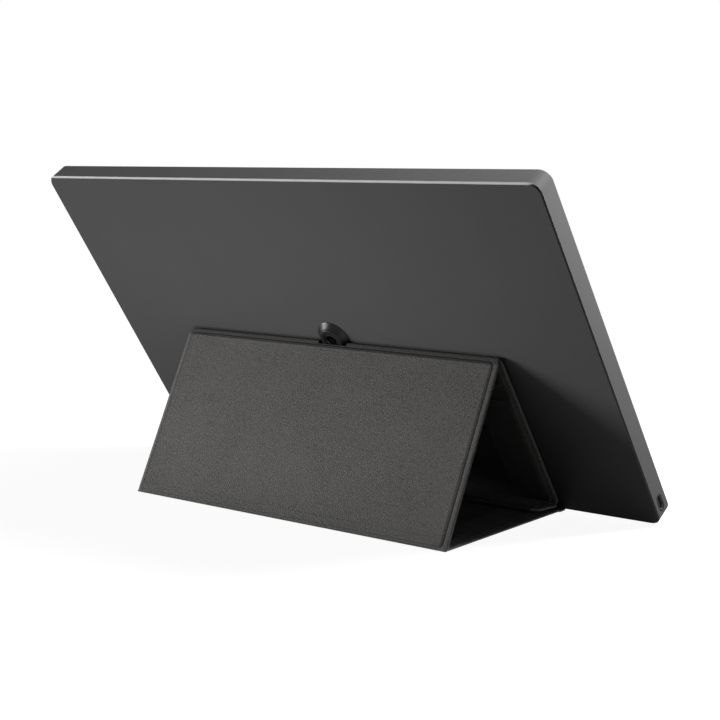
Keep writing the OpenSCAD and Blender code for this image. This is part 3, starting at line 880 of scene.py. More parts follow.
@dataclass(frozen=True)
class Blasted:
    """Bead-blasted and dyed metal: a fine even grain, faint clouds and a painted highlight along the edges.
    """

    name: str = "housing_shell"
    colour: Colour = (0.095, 0.094, 0.094)
    grain: float = 0.22
    depth: float = 0.012
    rough: Pair = (0.46, 0.56)
    specular: float = 0.02
    # The painted highlight line: its distance from the edges, its fade from the top, and its wander, in
    # millimetres.
    line: Pair = (0.85, 1.05)
    fade: Pair = (0.6, 5.0)
    highlight_wander: float = 0.2

    def make(self) -> bpy.types.Material:
        """Builds the grain, and paints a highlight: a narrow light line along the outline's edges.

        The painted highlight lies where both the outline and the back are nearer than its width, which
        wanders a little. It is bright along the top and faint elsewhere.

        Returns:
            The material.
        """
        s = Shader(self.name)
        grain = s.noise(self.grain, 2.0, 0.6)
        base = s.tones(grain, 0.3, 0.7, self.colour, 0.92, 1.1)
        clouded = s.over(s.noise(60.0, 3.0, 0.5), 0.3, 0.7, 0.3, base, shade(self.colour, 1.16))
        x, y, z = s.parts(s.turned((MONITOR.tilt, 0, 0)))
        lean = math.radians(MONITOR.tilt)
        _, foot_y, foot_z = OnMonitor().place(np.zeros(1), np.zeros(1), np.zeros(1))[0]
        back = float(foot_y * math.cos(lean) - foot_z * math.sin(lean))
        foot = float(foot_y * math.sin(lean) + foot_z * math.cos(lean))
        side = s.sums("SUBTRACT", (MONITOR.width / 2.0) * MM, s.sums("ABSOLUTE", x))
        top = s.sums("SUBTRACT", foot + MONITOR.height * MM, z)
        end = s.sums("MINIMUM", top, s.sums("SUBTRACT", z, foot))
        near = s.sums("MAXIMUM", s.sums("MINIMUM", side, end), s.sums("SUBTRACT", back, y))
        highlight_distance = s.sums("MULTIPLY_ADD", s.noise(9.0, 4.0, 0.65), self.highlight_wander * MM, near)
        edge = s.range(highlight_distance, self.line[0] * MM, self.line[1] * MM, 1.0, 0.0)
        bright = s.range(top, self.fade[0] * MM, self.fade[1] * MM, 1.0, 0.12)
        # Painted highlight: the line is lightened up to 9.5 times the colour, most along the top.
        edged = s.blend(s.sums("MULTIPLY", edge, bright), clouded, shade(self.colour, 9.5))
        s.set(
            Base_Color=edged,
            Roughness=s.range(grain, 0.2, 0.8, self.rough[1], self.rough[0]),
            Normal=s.bump(grain, self.depth, 0.5),
            Specular_IOR_Level=self.specular,
        )
        return s.material


@dataclass(frozen=True)
class Moulded:
    """Moulded plastic: a spark-eroded texture of a given size, from matt to glossy."""

    name: str
    colour: Colour
    grain: float = 0.3
    depth: float = 0.012
    rough: Pair = (0.42, 0.55)
    specular: float = 0.4

    def make(self) -> bpy.types.Material:
        """Builds the texture from noise and small cells.

        Returns:
            The material.
        """
        s = Shader(self.name)
        cells = s.cells(self.grain * 2.2, False)
        grain = s.sums("MULTIPLY_ADD", s.noise(self.grain, 3.0, 0.6), 0.7, cells)
        base = s.tones(grain, 0.3, 1.0, self.colour, 0.88, 1.12)
        clouded = s.over(s.noise(22.0, 3.0, 0.6), 0.3, 0.7, 0.3, base, shade(self.colour, 1.25))
        edged = s.over(s.wear_and_shade_map(), 0.0, 1.0, 0.35, clouded, shade(self.colour, 2.2))
        s.set(
            Base_Color=edged,
            Roughness=s.range(grain, 0.3, 1.0, self.rough[1], self.rough[0]),
            Normal=s.bump(grain, self.depth, 0.5),
            Specular_IOR_Level=self.specular,
        )
        return s.material


class Draw(Enum):
    """How the marks on a metal run."""

    ROLLED = (1.0, 24.0, 24.0)
    TURNED = (18.0, 18.0, 1.0)
    PLATED = (1.0, 1.0, 1.0)


@dataclass(frozen=True)
class Metal:
    """Worked metal: fine marks along the way it was rolled, turned or plated, and stains."""

    name: str
    colour: Colour
    draw: Draw = Draw.ROLLED
    rough: Pair = (0.22, 0.38)
    mark: float = 2.0

    def make(self) -> bpy.types.Material:
        """Builds stretched noise for the marks and a cloud for the stains.

        Returns:
            The material.
        """
        s = Shader(self.name)
        marks = s.noise(self.mark, 4.0, 0.7, s.turned((-MONITOR.tilt, 0, 0), self.draw.value))
        base = s.tones(marks, 0.3, 0.7, self.colour, 0.85, 1.0)
        stained = s.over(s.noise(12.0, 4.0, 0.6), 0.45, 0.75, 0.4, base, shade(self.colour, 0.68))
        s.set(
            Base_Color=stained,
            Roughness=s.range(marks, 0.3, 0.7, self.rough[0], self.rough[1]),
            Normal=s.bump(marks, 0.01, 0.4),
            Metallic=1.0,
        )
        return s.material


@dataclass(frozen=True)
class Screen:
    """The display, switched off: near black under a fine matt anti-glare coat."""

    name: str = "display_face"
    colour: Colour = (0.012, 0.013, 0.016)

    def make(self) -> bpy.types.Material:
        """Builds the coat's sparkle over a faintly cloudy black.

        Returns:
            The material.
        """
        s = Shader(self.name)
        sparkle = s.noise(0.12, 2.0, 0.7)
        s.set(
            Base_Color=s.tones(s.noise(90.0, 2.0, 0.5), 0.3, 0.7, self.colour, 1.0, 1.35),
            Roughness=s.range(sparkle, 0.3, 0.7, 0.24, 0.33),
            Normal=s.bump(sparkle, 0.004, 0.35),
            Specular_IOR_Level=0.45,
        )
        return s.material


@dataclass(frozen=True)
class Circuit:
    """Solder-masked board: copper tracks in rows under the mask, and specks of solder."""

    name: str = "circuit_board"
    colour: Colour = (0.012, 0.075, 0.04)

    def make(self) -> bpy.types.Material:
        """Builds tracks from two crossed bands and pads from cells.

        Returns:
            The material.
        """
        s = Shader(self.name)
        local = s.turned((MONITOR.tilt, 0, 0))
        one = s.range(s.waves(1.1, local, "X", 1.5), 0.72, 0.86, 0.0, 1.0)
        two = s.range(s.waves(1.4, local, "Z", 1.5), 0.76, 0.9, 0.0, 1.0)
        area = s.range(s.noise(8.0, 1.0, 0.5), 0.48, 0.52, 0.0, 1.0)
        rest = s.sums("SUBTRACT", 1.0, area)
        tracks = s.sums("MAXIMUM", s.sums("MULTIPLY", one, area), s.sums("MULTIPLY", two, rest))
        pads = s.range(s.cells(2.4, False), 0.14, 0.1, 0.0, 1.0)
        masked = s.blend(tracks, self.colour, shade(self.colour, 2.1))
        s.set(
            Base_Color=s.blend(pads, masked, (0.55, 0.55, 0.57)),
            Roughness=s.range(tracks, 0.0, 1.0, 0.36, 0.28),
            Metallic=s.sums("MULTIPLY", pads, 0.9),
            Normal=s.bump(s.sums("MAXIMUM", tracks, pads), 0.02, 0.6),
        )
        return s.material


@dataclass(frozen=True)
class Film:
    """White or clear optical film: faint prisms and soft clouds."""

    name: str
    colour: Colour = (0.82, 0.83, 0.86)
    prism: float = 0.3
    rough: Pair = (0.3, 0.5)

    def make(self) -> bpy.types.Material:
        """Builds the prisms from bands and the clouds from noise.

        Returns:
            The material.
        """
        s = Shader(self.name)
        prisms = s.waves(self.prism, s.turned((MONITOR.tilt, 0, 0)), "Z", 0.3)
        s.set(
            Base_Color=s.tones(s.noise(16.0, 3.0, 0.5), 0.3, 0.7, self.colour, 0.92, 1.0),
            Roughness=s.range(prisms, 0.0, 1.0, self.rough[0], self.rough[1]),
            Normal=s.bump(prisms, 0.02, 0.4),
        )
        return s.material


@dataclass(frozen=True)
class GreyBoard:
    """Pressed fibre board: long pale and dark fibres in a dull sheet."""

    name: str = "fibre_board"
    colour: Colour = (0.19, 0.18, 0.165)

    def make(self) -> bpy.types.Material:
        """Builds the fibres from noise stretched across two directions.

        Returns:
            The material.
        """
        s = Shader(self.name)
        fibres = s.noise(3.0, 4.0, 0.7, s.turned((0, 0, 25), (1.0, 7.0, 3.0)))
        specks = s.cells(1.7, False)
        base = s.tones(fibres, 0.3, 0.7, self.colour, 0.75, 1.3)
        s.set(
            Base_Color=s.blend(s.range(specks, 0.0, 0.15, 0.5, 0.0), base, shade(self.colour, 0.5)),
            Roughness=s.range(fibres, 0.3, 0.7, 0.95, 0.82),
            Normal=s.bump(fibres, 0.05, 0.5),
            Specular_IOR_Level=0.2,
        )
        return s.material


class Finishes:
    """Makes each finish once and hands out its material."""

    def __init__(self) -> None:
        """Starts with nothing made."""
        self.made: dict[str, bpy.types.Material] = {}

    def __call__(self, finish: Finish) -> bpy.types.Material:
        """Gives the material of a finish.

        Args:
            finish: The finish.

        Returns:
            Its material.
        """
        if finish.name not in self.made:
            self.made[finish.name] = finish.make()
        return self.made[finish.name]

    def dress(self, piece: bpy.types.Object, finish: Finish) -> bpy.types.Object:
        """Gives a piece one finish all over.

        Args:
            piece: The piece.
            finish: The finish.

        Returns:
            The same piece.
        """
        piece.data.materials.clear()
        piece.data.materials.append(self(finish))
        return piece


LEATHER = Leather()
LINING = Lining()
SHELL = Blasted()
BEZEL = Moulded("bezel_frame", (0.016, 0.016, 0.017), 0.35, 0.014, (0.45, 0.6), 0.35)
KEY_CAP = Moulded("key_cap", (0.03, 0.03, 0.031), 0.25, 0.008, (0.34, 0.45), 0.4)
GLOSS = Moulded("socket_gloss", (0.008, 0.008, 0.009), 0.6, 0.002, (0.3, 0.38), 0.14)
CHIP = Moulded("chip_resin", (0.014, 0.014, 0.015), 0.2, 0.01, (0.5, 0.65), 0.35)
# Near black: painted shade for the port's recess, on the ring round its opening.
PAINTED_SHADE_RECESS = Moulded("port_recess", (0.005, 0.005, 0.005), 0.35, 0.01, (0.5, 0.65), 0.08)
TONGUE = Moulded("port_tongue", (0.01, 0.01, 0.011), 0.3, 0.006, (0.45, 0.55), 0.2)
PAD = Moulded("heat_pad", (0.33, 0.38, 0.45), 0.8, 0.05, (0.7, 0.85), 0.2)
FLEX = Moulded("flex_cable", (0.24, 0.11, 0.02), 0.9, 0.01, (0.3, 0.42), 0.45)
SCREEN = Screen()
CIRCUIT = Circuit()
FILM = Film("optical_film")
GUIDE = Film("light_guide", (0.7, 0.74, 0.76), 0.8, (0.08, 0.16))
BOARD = GreyBoard()
TRAY = Metal("tray_sheet", (0.62, 0.63, 0.65))
STEEL = Metal("pressed_steel", (0.6, 0.6, 0.61), Draw.ROLLED, (0.24, 0.36), 1.2)
# The port's shell is near-black steel: painted shade for the inside of the port.
PAINTED_SHADE_PORT_SHELL = Metal("port_shell", (0.09, 0.09, 0.092), Draw.ROLLED, (0.42, 0.52), 0.8)
# The insert is near-black metal: painted shade for the socket's hole.
PAINTED_SHADE_INSERT = Metal("threaded_insert", (0.022, 0.022, 0.023), Draw.TURNED, (0.34, 0.46), 0.8)
CONTACT = Metal("gold_contact", (0.42, 0.31, 0.13), Draw.PLATED, (0.25, 0.35), 0.6)
MAGNET = Metal("nickel_magnet", (0.63, 0.62, 0.6), Draw.PLATED, (0.14, 0.26), 1.5)


# ---- The cover ----


@dataclass
class Panel:
    """One flat panel of the cover: its leather skin, and the lining on the other face.

    The leather is hem along both ends and stands up in a field over each board. The lining stands
    up too, with a raised bead round a strip inside each end, which fades out over the flat places.
    At a fold both run on into the fold's band; a free edge is rounded. A notch is the place along
    and the radius of the opening for the tripod socket.
    """

    name: str
    body: str
    place: Placement
    low: float
    high: float
    fields: tuple[Pair, ...]
    boards: tuple[Pair, ...]
    finishes: Finishes
    sizes: CoverSizes = COVER
    notch: Pair | None = None
    free_end: bool = False
    corner: float = 0.0
    flat: Pair = (-9.0, -5.0)
    bead: float = 0.8

    def columns(self, half: float, ends: Sequence[float]) -> Array:
        """Stations across, close together at the ends of the width and round a notch.

        Args:
            half: Half the grid's width.
            ends: Places in from the ends that need close stations.

        Returns:
            Rising stations from the left to the right.
        """
        right = spread(0.0, half, 6.0, 0.2, [half - e for e in ends], 1.4)
        right = np.unique(np.concatenate([right, half - RIM]))
        if self.notch:
            reach = math.sqrt(max(self.notch[1] ** 2 - (self.notch[0] - self.high) ** 2, 0.0))
            turn = np.sin(np.linspace(0.0, math.pi / 2.0, 14)) * reach
            right = np.unique(np.round(np.concatenate([right, turn, [reach + 0.12]]), 3))
        return both_sides(right)

    def far_edge(self, across: Array) -> Array:
        """Where the panel ends along, which is nearer to its fold round the notch.

        Args:
            across: Millimetres across from the middle.

        Returns:
            Millimetres along from the fold.
        """
        if self.notch is None:
            return np.full(across.shape, self.high)
        centre, radius = self.notch
        cut = centre - np.sqrt(np.clip(radius**2 - across**2, 0.0, None))
        return np.where(np.abs(across) < radius, np.minimum(self.high, cut), self.high)

    def grid(self, half: float, near: Sequence[float], ends: Sequence[float]) -> tuple[Array, Array, Array]:
        """Gives the grid of places across and along, and how far the corners narrow it.

        Args:
            half: Half the grid's width.
            near: Places along that need close stations.
            ends: Places in from the ends that need close stations.

        Returns:
            Places across, places along, and the narrowing of the half width.
        """
        across = self.columns(half, ends)
        along = spread(self.low, self.high, 3.0, 0.2, near, 1.8)
        if self.free_end:
            turn = self.corner * (1.0 - np.cos(np.linspace(0.0, math.pi / 2.0, 14)))
            along = np.concatenate([along, self.high - RIM, self.high - turn])
        along = np.unique(np.round(np.clip(along, self.low, self.high), 3))
        cut = self.high - self.far_edge(across)
        share = smooth_step((along - self.low) / (self.high - self.low), 0.75, 1.0)
        s = along[None, :] - cut[:, None] * share[None, :]
        inset = edge_fall(self.high - s, self.corner) if self.free_end else np.zeros_like(s)
        x = np.repeat(across[:, None], len(along), axis=1) * (1.0 - inset / half)
        return x, s, inset

    def to_free_edge(self, x: Array, s: Array, half: Array) -> Array:
        """Distance to the nearest edge that shows: both ends, a free edge, and the notch.

        Args:
            x: Millimetres across from the middle.
            s: Millimetres along from the fold.
            half: Half the width at each place.

        Returns:
            Millimetres to the edge.
        """
        edge = half - np.abs(x)
        if self.free_end:
            edge = np.minimum(edge, self.high - s)
        if self.notch:
            inside = np.abs(x) < self.notch[1] - 1.5
            edge = np.where(inside, np.minimum(edge, self.far_edge(x) - s), edge)
        return edge

    def field_distance(self, x: Array, s: Array, inset: float, spans: Sequence[Pair]) -> Array:
        """Signed distance to the nearest of the fields, positive inside.

        Args:
            x: Millimetres across from the middle.
            s: Millimetres along from the fold.
            inset: How far in from the fields' outlines it counts.
            spans: Where each field starts and ends along.

        Returns:
            Millimetres to the outline.
        """
        half = self.sizes.width / 2.0 - self.sizes.hem - inset
        radius = self.sizes.field_corner - inset
        parts = [inside_rectangle(x, s, half, low + inset, high - inset, radius) for low, high in spans]
        return np.max(parts, axis=0)

    def leather(self) -> bpy.types.Object:
        """Builds the skin: an outer and an inner height over the same grid, joined by rounded edges.

        The outer height is the full thickness less the relief's drop. The inner height steps from
        the hem to the pocket of the board.

        Returns:
            The leather piece.
        """
        c = self.sizes
        half = c.width / 2.0
        near = [v for span in self.fields + self.boards for v in span if self.low < v < self.high]
        x, s, inset = self.grid(half, near, (c.hem, c.hem + c.rim))
        d = self.field_distance(x, s, 0.0, self.fields)
        edge = self.to_free_edge(x, s, half - inset)
        fall, wear_and_shade = relief(d, c.hem_drop)
        pocket = self.field_distance(x, s, c.rim, self.boards)
        inner = c.hem_low - (c.hem_low - c.lining) * smooth_step(d, 0.0, 0.2)
        inner = inner + (c.thick - c.skin + 0.02 - inner) * smooth_step(pocket, -0.05, 0.15)
        soft = edge_fall(edge, EDGE_RADIUS)
        heights = (c.thick - fall - soft, inner + soft)
        points = np.stack([self.place.place(x, s, height) for height in heights])
        wear_and_shade_map = np.stack([np.clip(wear_and_shade + 0.6 * rubbed(edge), -1.0, 1.0), 0.5 * rubbed(edge)])
        piece = add_piece(f"{self.name}_leather", points, [slab_faces(*x.shape)], wear_and_shade_map)
        self.finishes.dress(piece, LEATHER)
        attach(piece, self.body)
        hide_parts(f"{self.name}_skin")
        return piece

    def soft_lining(self) -> bpy.types.Object:
        """Builds the lining: a soft face with beads round its strips, and sunk between two boards.

        The face's height is 0, less the strip's rise and a bell along the strip's outline, plus the
        sink between fields; a free edge falls by a small circle.

        Returns:
            The lining piece.
        """
        c = self.sizes
        radius, side, gap, corner, beyond = 0.6, c.strip_width / 2.0, 0.9, 4.0, 9.0
        half = c.width / 2.0 - c.hem - c.lining_in
        ends = [(low + 1.5, high - 1.5) for low, high in self.boards]
        near = [v for span in ends for v in span]
        x, s, inset = self.grid(half, near, (2.0 * radius, c.strip_width + c.lining_in))
        off = np.abs(x) - (half + c.lining_in - c.strip_in - side)
        strips = [
            inside_rectangle(off, s, side, low + gap, high - gap, corner) for low, high in self.boards
        ]
        fields = [inside_rectangle(x, s, half + beyond, low, high, 0.3) for low, high in self.fields]
        strip, field = np.max(strips, axis=0), np.max(fields, axis=0)
        bead = ridge(strip, 0.9, 0.8)
        edge = self.to_free_edge(x, s, half - inset)
        raised = c.strip_height * smooth_step(strip, -0.4, 0.9) + self.bead * bead
        sink = 0.5 * smooth_step(field, -0.2, -1.6)
        face = sink + edge_fall(edge, radius) - raised * smooth_step(s, *self.flat)
        back = np.full(x.shape, c.hem_low + c.overlap)
        wear_and_shade = 0.55 * bead + 0.35 * smooth_step(edge, radius, 0.0)
        points = np.stack([self.place.place(x, s, back), self.place.place(x, s, face)])
        wear_and_shade_map = np.stack([np.zeros_like(wear_and_shade), np.clip(wear_and_shade, -1.0, 1.0)])
        piece = add_piece(f"{self.name}_nap", points, [slab_faces(*x.shape)], wear_and_shade_map)
        self.finishes.dress(piece, LINING)
        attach(piece, self.body)
        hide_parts(f"{self.name}_lining")
        return piece


@dataclass
class FoldBand:
    """The bonded leather that goes round a fold from one panel's skin to the next, lined inside.

    The fields of both panels run on over the band up to their own end lines, so that the seams
    beside the fold don't show. The band draws in a little where it bends. The crease is added to
    the wear and shade along the bend, as rubbed wear where it is above 0 and as painted shade where
    it is below 0; creased is how far it reaches to both sides.
    """

    name: str
    path: RoundFold
    bodies: tuple[str, str]
    fields: Pair
    finishes: Finishes
    sizes: CoverSizes = COVER
    draw_in: float = 1.5
    crease: float = 0.25
    creased: float = 2.0
    far: float = 60.0
    bite: Triple | None = None

    def build(self) -> bpy.types.Object:
        """Sweeps the relief of both panels round the fold.

        A bite moves the band's first station on, so that it stays clear of the tripod socket.

        Returns:
            The band, leather outside and lining inside.
        """
        c = self.sizes
        half = c.width / 2.0
        right = np.concatenate([spread(0.0, half, 8.0, 0.2, [half - c.hem], 1.8), half - RIM])
        if self.bite:
            right = np.concatenate([right, np.linspace(self.bite[0] - 0.3, self.bite[1] + 0.3, 13)])
        across = both_sides(np.unique(np.round(right, 3)))
        line = self.path.line()
        whole = line.length[-1]
        t = np.repeat(line.length[None, :], len(across), axis=0)
        if self.bite:
            share = 1.0 - smooth_step(np.abs(across), self.bite[0], self.bite[1])[:, None]
            t = t + share * self.bite[2] * (1.0 - t / whole)
        at = line.at(t)
        inset = self.draw_in * ridge(t, whole / 2.0, 2.4)
        x = across[:, None] * (1.0 - inset / half)
        first, last = (
            inside_rectangle(x, past, half - c.hem, -self.far, end, c.field_corner)
            for past, end in zip((at.past_first, -at.past_last), self.fields)
        )
        fall, wear_and_shade = relief(np.maximum(first, last), c.hem_drop)
        edge = half - inset - np.abs(x)
        soft = edge_fall(edge, EDGE_RADIUS)
        lined = smooth_step(edge - c.hem - c.lining_in, -0.1, 0.4)
        inner = c.hem_low - (c.hem_low - c.overlap) * lined + soft * (1.0 - lined)
        off_bend = np.abs(t - whole / 2.0)
        # Along the bend: rubbed wear for a crease above 0, painted shade for a crease below 0.
        bent = self.crease * smooth_step(off_bend, self.creased + 0.8, self.creased - 0.8)
        wear_and_shade = np.clip(wear_and_shade + 0.6 * rubbed(edge) + bent, -1.0, 1.0)
        under = 0.005
        points = np.stack([self.path.outer(at, x, fall + soft + under), self.path.inner(at, x, inner)])
        wear_and_shade_map = np.stack([wear_and_shade, 0.4 * rubbed(edge)])
        piece = add_piece(f"{self.name}_band", points, [slab_faces(*x.shape)], wear_and_shade_map)
        self.finishes.dress(piece, LEATHER)
        piece.data.materials.append(self.finishes(LINING))
        sheet = (x.shape[0] - 1) * (x.shape[1] - 1)
        kinds = np.zeros(len(piece.data.polygons), dtype=np.int32)
        inside = lined[:-1, :-1].ravel() > 0.5
        kinds[sheet : 2 * sheet][inside] = 1
        piece.data.polygons.foreach_set("material_index", kinds)
        self.path.end(True)
        self.path.end(False)
        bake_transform(piece)
        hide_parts(self.name)
        return piece


@dataclass
class BaseLip:
    """The thin tongue in front of the base panel, under the monitor's back edge."""

    finishes: Finishes
    sizes: CoverSizes = COVER

    def build(self) -> bpy.types.Object:
        """Builds a flat slab whose front corners are rounded by narrowing it, with a rounded edge.

        Returns:
            The lip.
        """
        c = self.sizes
        place = OnPanel(REAR, BASE_ANGLE)
        low = REAR_Y - c.base_set_back
        high = REAR_Y + c.lip_reach
        half = c.width / 2.0
        right = np.concatenate([spread(0.0, half, 8.0, 0.4, [half - 2.0], 2.0), half - RIM])
        across = both_sides(np.unique(right))
        along = np.unique(np.concatenate([np.linspace(low, high, 22), high - RIM]))
        s = np.repeat(along[None, :], len(across), axis=0)
        inset = edge_fall(high - s, c.lip_radius)
        x = np.repeat(across[:, None], len(along), axis=1) * (1.0 - inset / half)
        edge = np.minimum(half - inset - np.abs(x), high - s)
        soft = edge_fall(edge, c.lip_edge)
        heights = (c.thick - soft, c.thick - c.lip_thick + soft)
        wear_and_shade = 0.8 * smooth_step(edge, 0.8, 0.1) - ridge(edge, 1.6, 0.25)
        points = np.stack([place.place(x, s, height) for height in heights])
        piece = add_piece("base_lip_leather", points, [slab_faces(*x.shape)], np.stack([wear_and_shade, wear_and_shade]))
        self.finishes.dress(piece, LEATHER)
        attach(piece, "cover_base")
        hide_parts("base_lip")
        return piece


@dataclass
class Cover:
    """The folded cover: four panels, three folds and the lip."""

    finishes: Finishes
    sizes: CoverSizes = COVER

    def build(self) -> list[bpy.types.Object]:
        """Builds every leather and lining piece of the cover.

        Returns:
            The pieces.
        """
        c, f = self.sizes, self.finishes
        half, hem, on = c.fold_half, c.fold_hem, 30.0
        base_length = REAR_Y - c.base_set_back
        over_flap = base_length - c.flap_length - 4.2
        boss = (c.back_length + MONITOR.boss_up - APEX_UP, 12.5)
        panels = [
            Panel(
                "back_panel", "cover_back", OnPanel(CORNER, BACK_ANGLE), half, c.back_length - half,
                ((-on, c.long_end + hem), (c.short_start - hem, c.back_length + on)),
                ((half + hem, c.long_end), (c.short_start, c.back_length - half - hem)),
                f, c, notch=boss, flat=(4.0, 11.0),
            ),
            Panel(
                "rear_panel", "cover_rear", OnPanel(APEX, REAR_ANGLE), half, c.rear_length - half,
                ((-on, c.rear_length + on),), ((half + hem, c.rear_length - half - hem),), f, c,
            ),
            Panel(
                "base_panel", "cover_base", OnPanel(REAR, BASE_ANGLE), half, base_length,
                ((-on, base_length),), ((half + hem, base_length - hem),), f, c,
                free_end=True, corner=0.8, flat=(over_flap, over_flap - 2.8),
            ),
            Panel(
                "flap", "cover_flap", OnPanel(CORNER, c.flap_lift, True), half, c.flap_length,
                ((-on, c.flap_length - c.flap_hem + hem),), ((half + hem, c.flap_length - c.flap_hem),),
                f, c, free_end=True, corner=6.0, bead=0.0,
            ),
        ]
        bands = [
            FoldBand(
                "apex_fold", RoundFold(APEX, BACK_ANGLE + 90.0, REAR_ANGLE + 90.0, 1.5),
                ("cover_back", "cover_rear"), (-0.2, 0.3), f, c,
                # The apex fold's crease of -1 paints shade along its bend.
                crease=-1.0, creased=5.0, bite=(10.2, 12.2, 9.7),
            ),
            FoldBand(
                "rear_fold", RoundFold(REAR, REAR_ANGLE + 90.0, -90.0, 0.6),
                ("cover_rear", "cover_base"), (2.7, 0.2), f, c, draw_in=0.2,
            ),
            FoldBand(
                "corner_fold", RoundFold(CORNER, 270.0 + c.flap_lift, BACK_ANGLE + 90.0, 2.9),
                ("cover_flap", "cover_back"), (-0.3, -0.3), f, c,
            ),
        ]
        made = [piece for panel in panels for piece in (panel.leather(), panel.soft_lining())]
        made += [band.build() for band in bands]
        made.append(BaseLip(f, c).build())
        return made


# ---- Small parts of the monitor ----


def round_about(radius: Array, height: Array) -> Array:
    """Points round the tripod socket's axis, for a radius and a height at each row and turn."""
    angle = np.linspace(0.0, 2.0 * math.pi, radius.shape[1], endpoint=False)
    return OnMonitor().place(radius * np.cos(angle), MONITOR.boss_up + radius * np.sin(angle), height)


def corner_round(centre: Pair, radius: float, start: float, end: float, steps: int) -> Array:
    """Points of an arc in a profile, from one angle in degrees to another."""
    angle = np.radians(np.linspace(start, end, steps))
    return np.stack([centre[0] + radius * np.cos(angle), centre[1] + radius * np.sin(angle)], axis=-1)


@dataclass
class TripodSocket:
    """The round boss with its threaded insert, in the middle of the monitor's back."""

    finishes: Finishes
    foot: float = 11.4
    top: float = 7.2
    proud: float = 3.7
    stem: float = 6.775
    depth: float = 4.1
    bore: float = 4.825
    insert: float = 4.775
    thread: float = 3.175
    pitch: float = 1.27
    sunk: float = 0.4
    deep: float = 7.0

    def boss(self) -> bpy.types.Object:
        """Turns the boss: a stem inside the housing, a foot that flares, and a rounded shoulder.

        Returns:
            The boss.
        """
        toe, shoulder, lip, turns = 0.15, 0.85, 0.25, 96
        flare = corner_round((self.foot - toe, toe), toe, -90.0, 60.0, 5)
        bend = corner_round((self.top - 0.1, self.proud - shoulder), shoulder, 28.0, 90.0, 8)
        mouth = corner_round((self.bore + lip, self.proud - lip), lip, 90.0, 180.0, 5)
        sag = 0.12 * np.sin(np.linspace(0.0, math.pi, 6))
        flank = (np.linspace(flare[-1], bend[0], 6) - sag[:, None] * np.array([0.6, 0.8]))[1:-1]
        inside = [[self.bore, -self.depth], [self.stem, -self.depth], [self.stem, -0.02]]
        foot, bore = [[self.foot - 0.3, 0.0]], [[self.bore, 1.0]]
        profile = np.concatenate([inside, foot, flare, flank, bend, mouth, bore])[::-1]
        radius, height = (np.repeat(profile[:, k : k + 1], turns, axis=1) for k in range(2))
        faces = wrap_faces(*radius.shape, closed=True)
        piece = add_piece("tripod_boss", round_about(radius, height), [faces])
        self.finishes.dress(piece, GLOSS)
        sharpen(piece, 50.0)
        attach(piece, "monitor")
        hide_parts("socket_boss")
        return piece

    def threaded(self) -> bpy.types.Object:
        """Builds the insert: its bore is r + a * triangle(height / pitch - turn), a one-start thread.

        Returns:
            The insert.
        """
        turns, high = 64, self.proud - self.sunk
        low = high - self.deep
        heights = np.linspace(high - 0.5, low + 0.5, 60)[:, None]
        phase = heights / self.pitch - np.arange(turns)[None, :] / turns
        fade = smooth_step(heights, high - 0.5, high - 1.4)
        bore = self.thread + 0.32 * fade * np.abs(2.0 * (phase - np.floor(phase + 0.5)))
        rings = [
            (self.insert, low), (self.insert, high - 0.2), (self.insert - 0.2, high),
            (self.thread + 0.55, high), (self.thread + 0.5, high - 0.02), (self.thread + 0.3, low),
        ]
        around = np.repeat(np.array(rings)[:, :, None], turns, axis=2)
        radius = np.concatenate([around[:-1, 0], bore, around[-1:, 0]])
        height = np.concatenate([around[:-1, 1], np.repeat(heights, turns, axis=1), around[-1:, 1]])
        faces = wrap_faces(*radius.shape, closed=True)[:, ::-1]
        piece = add_piece("tripod_thread", round_about(radius, height), [faces])
        self.finishes.dress(piece, PAINTED_SHADE_INSERT)
        sharpen(piece, 50.0)
        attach(piece, "monitor")
        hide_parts("socket_insert")
        return piece


def pill_outline(length: float, width: float, steps: int) -> Array:
    """Outline of a bar with round ends, long on its first axis, going round once against the clock.

    Args:
        length: Length over both ends.
        width: Width, which is also the ends' diameter.
        steps: Points round each end.

    Returns:
        Long and short numbers of the points.
    """
    radius, reach = width / 2.0, (length - width) / 2.0
    angle = np.linspace(-math.pi / 2.0, math.pi / 2.0, steps)
    right = np.stack([reach + radius * np.cos(angle), radius * np.sin(angle)], axis=-1)
    return np.concatenate([right, -right])


def loft_pills(rings: Sequence[Triple], steps: int = 12) -> tuple[Array, Array, Array]:
    """Lays pill outlines of given length, width and depth over each other.

    Args:
        rings: Length, width and depth of each outline.
        steps: Steps round each end.

    Returns:
        Long, short and depth numbers of all points, one row for each outline.
    """
    outlines = np.stack([pill_outline(length, width, steps) for length, width, _ in rings])
    depth = np.repeat(np.array([ring[2] for ring in rings])[:, None], outlines.shape[1], axis=1)
    return outlines[..., 0], outlines[..., 1], depth


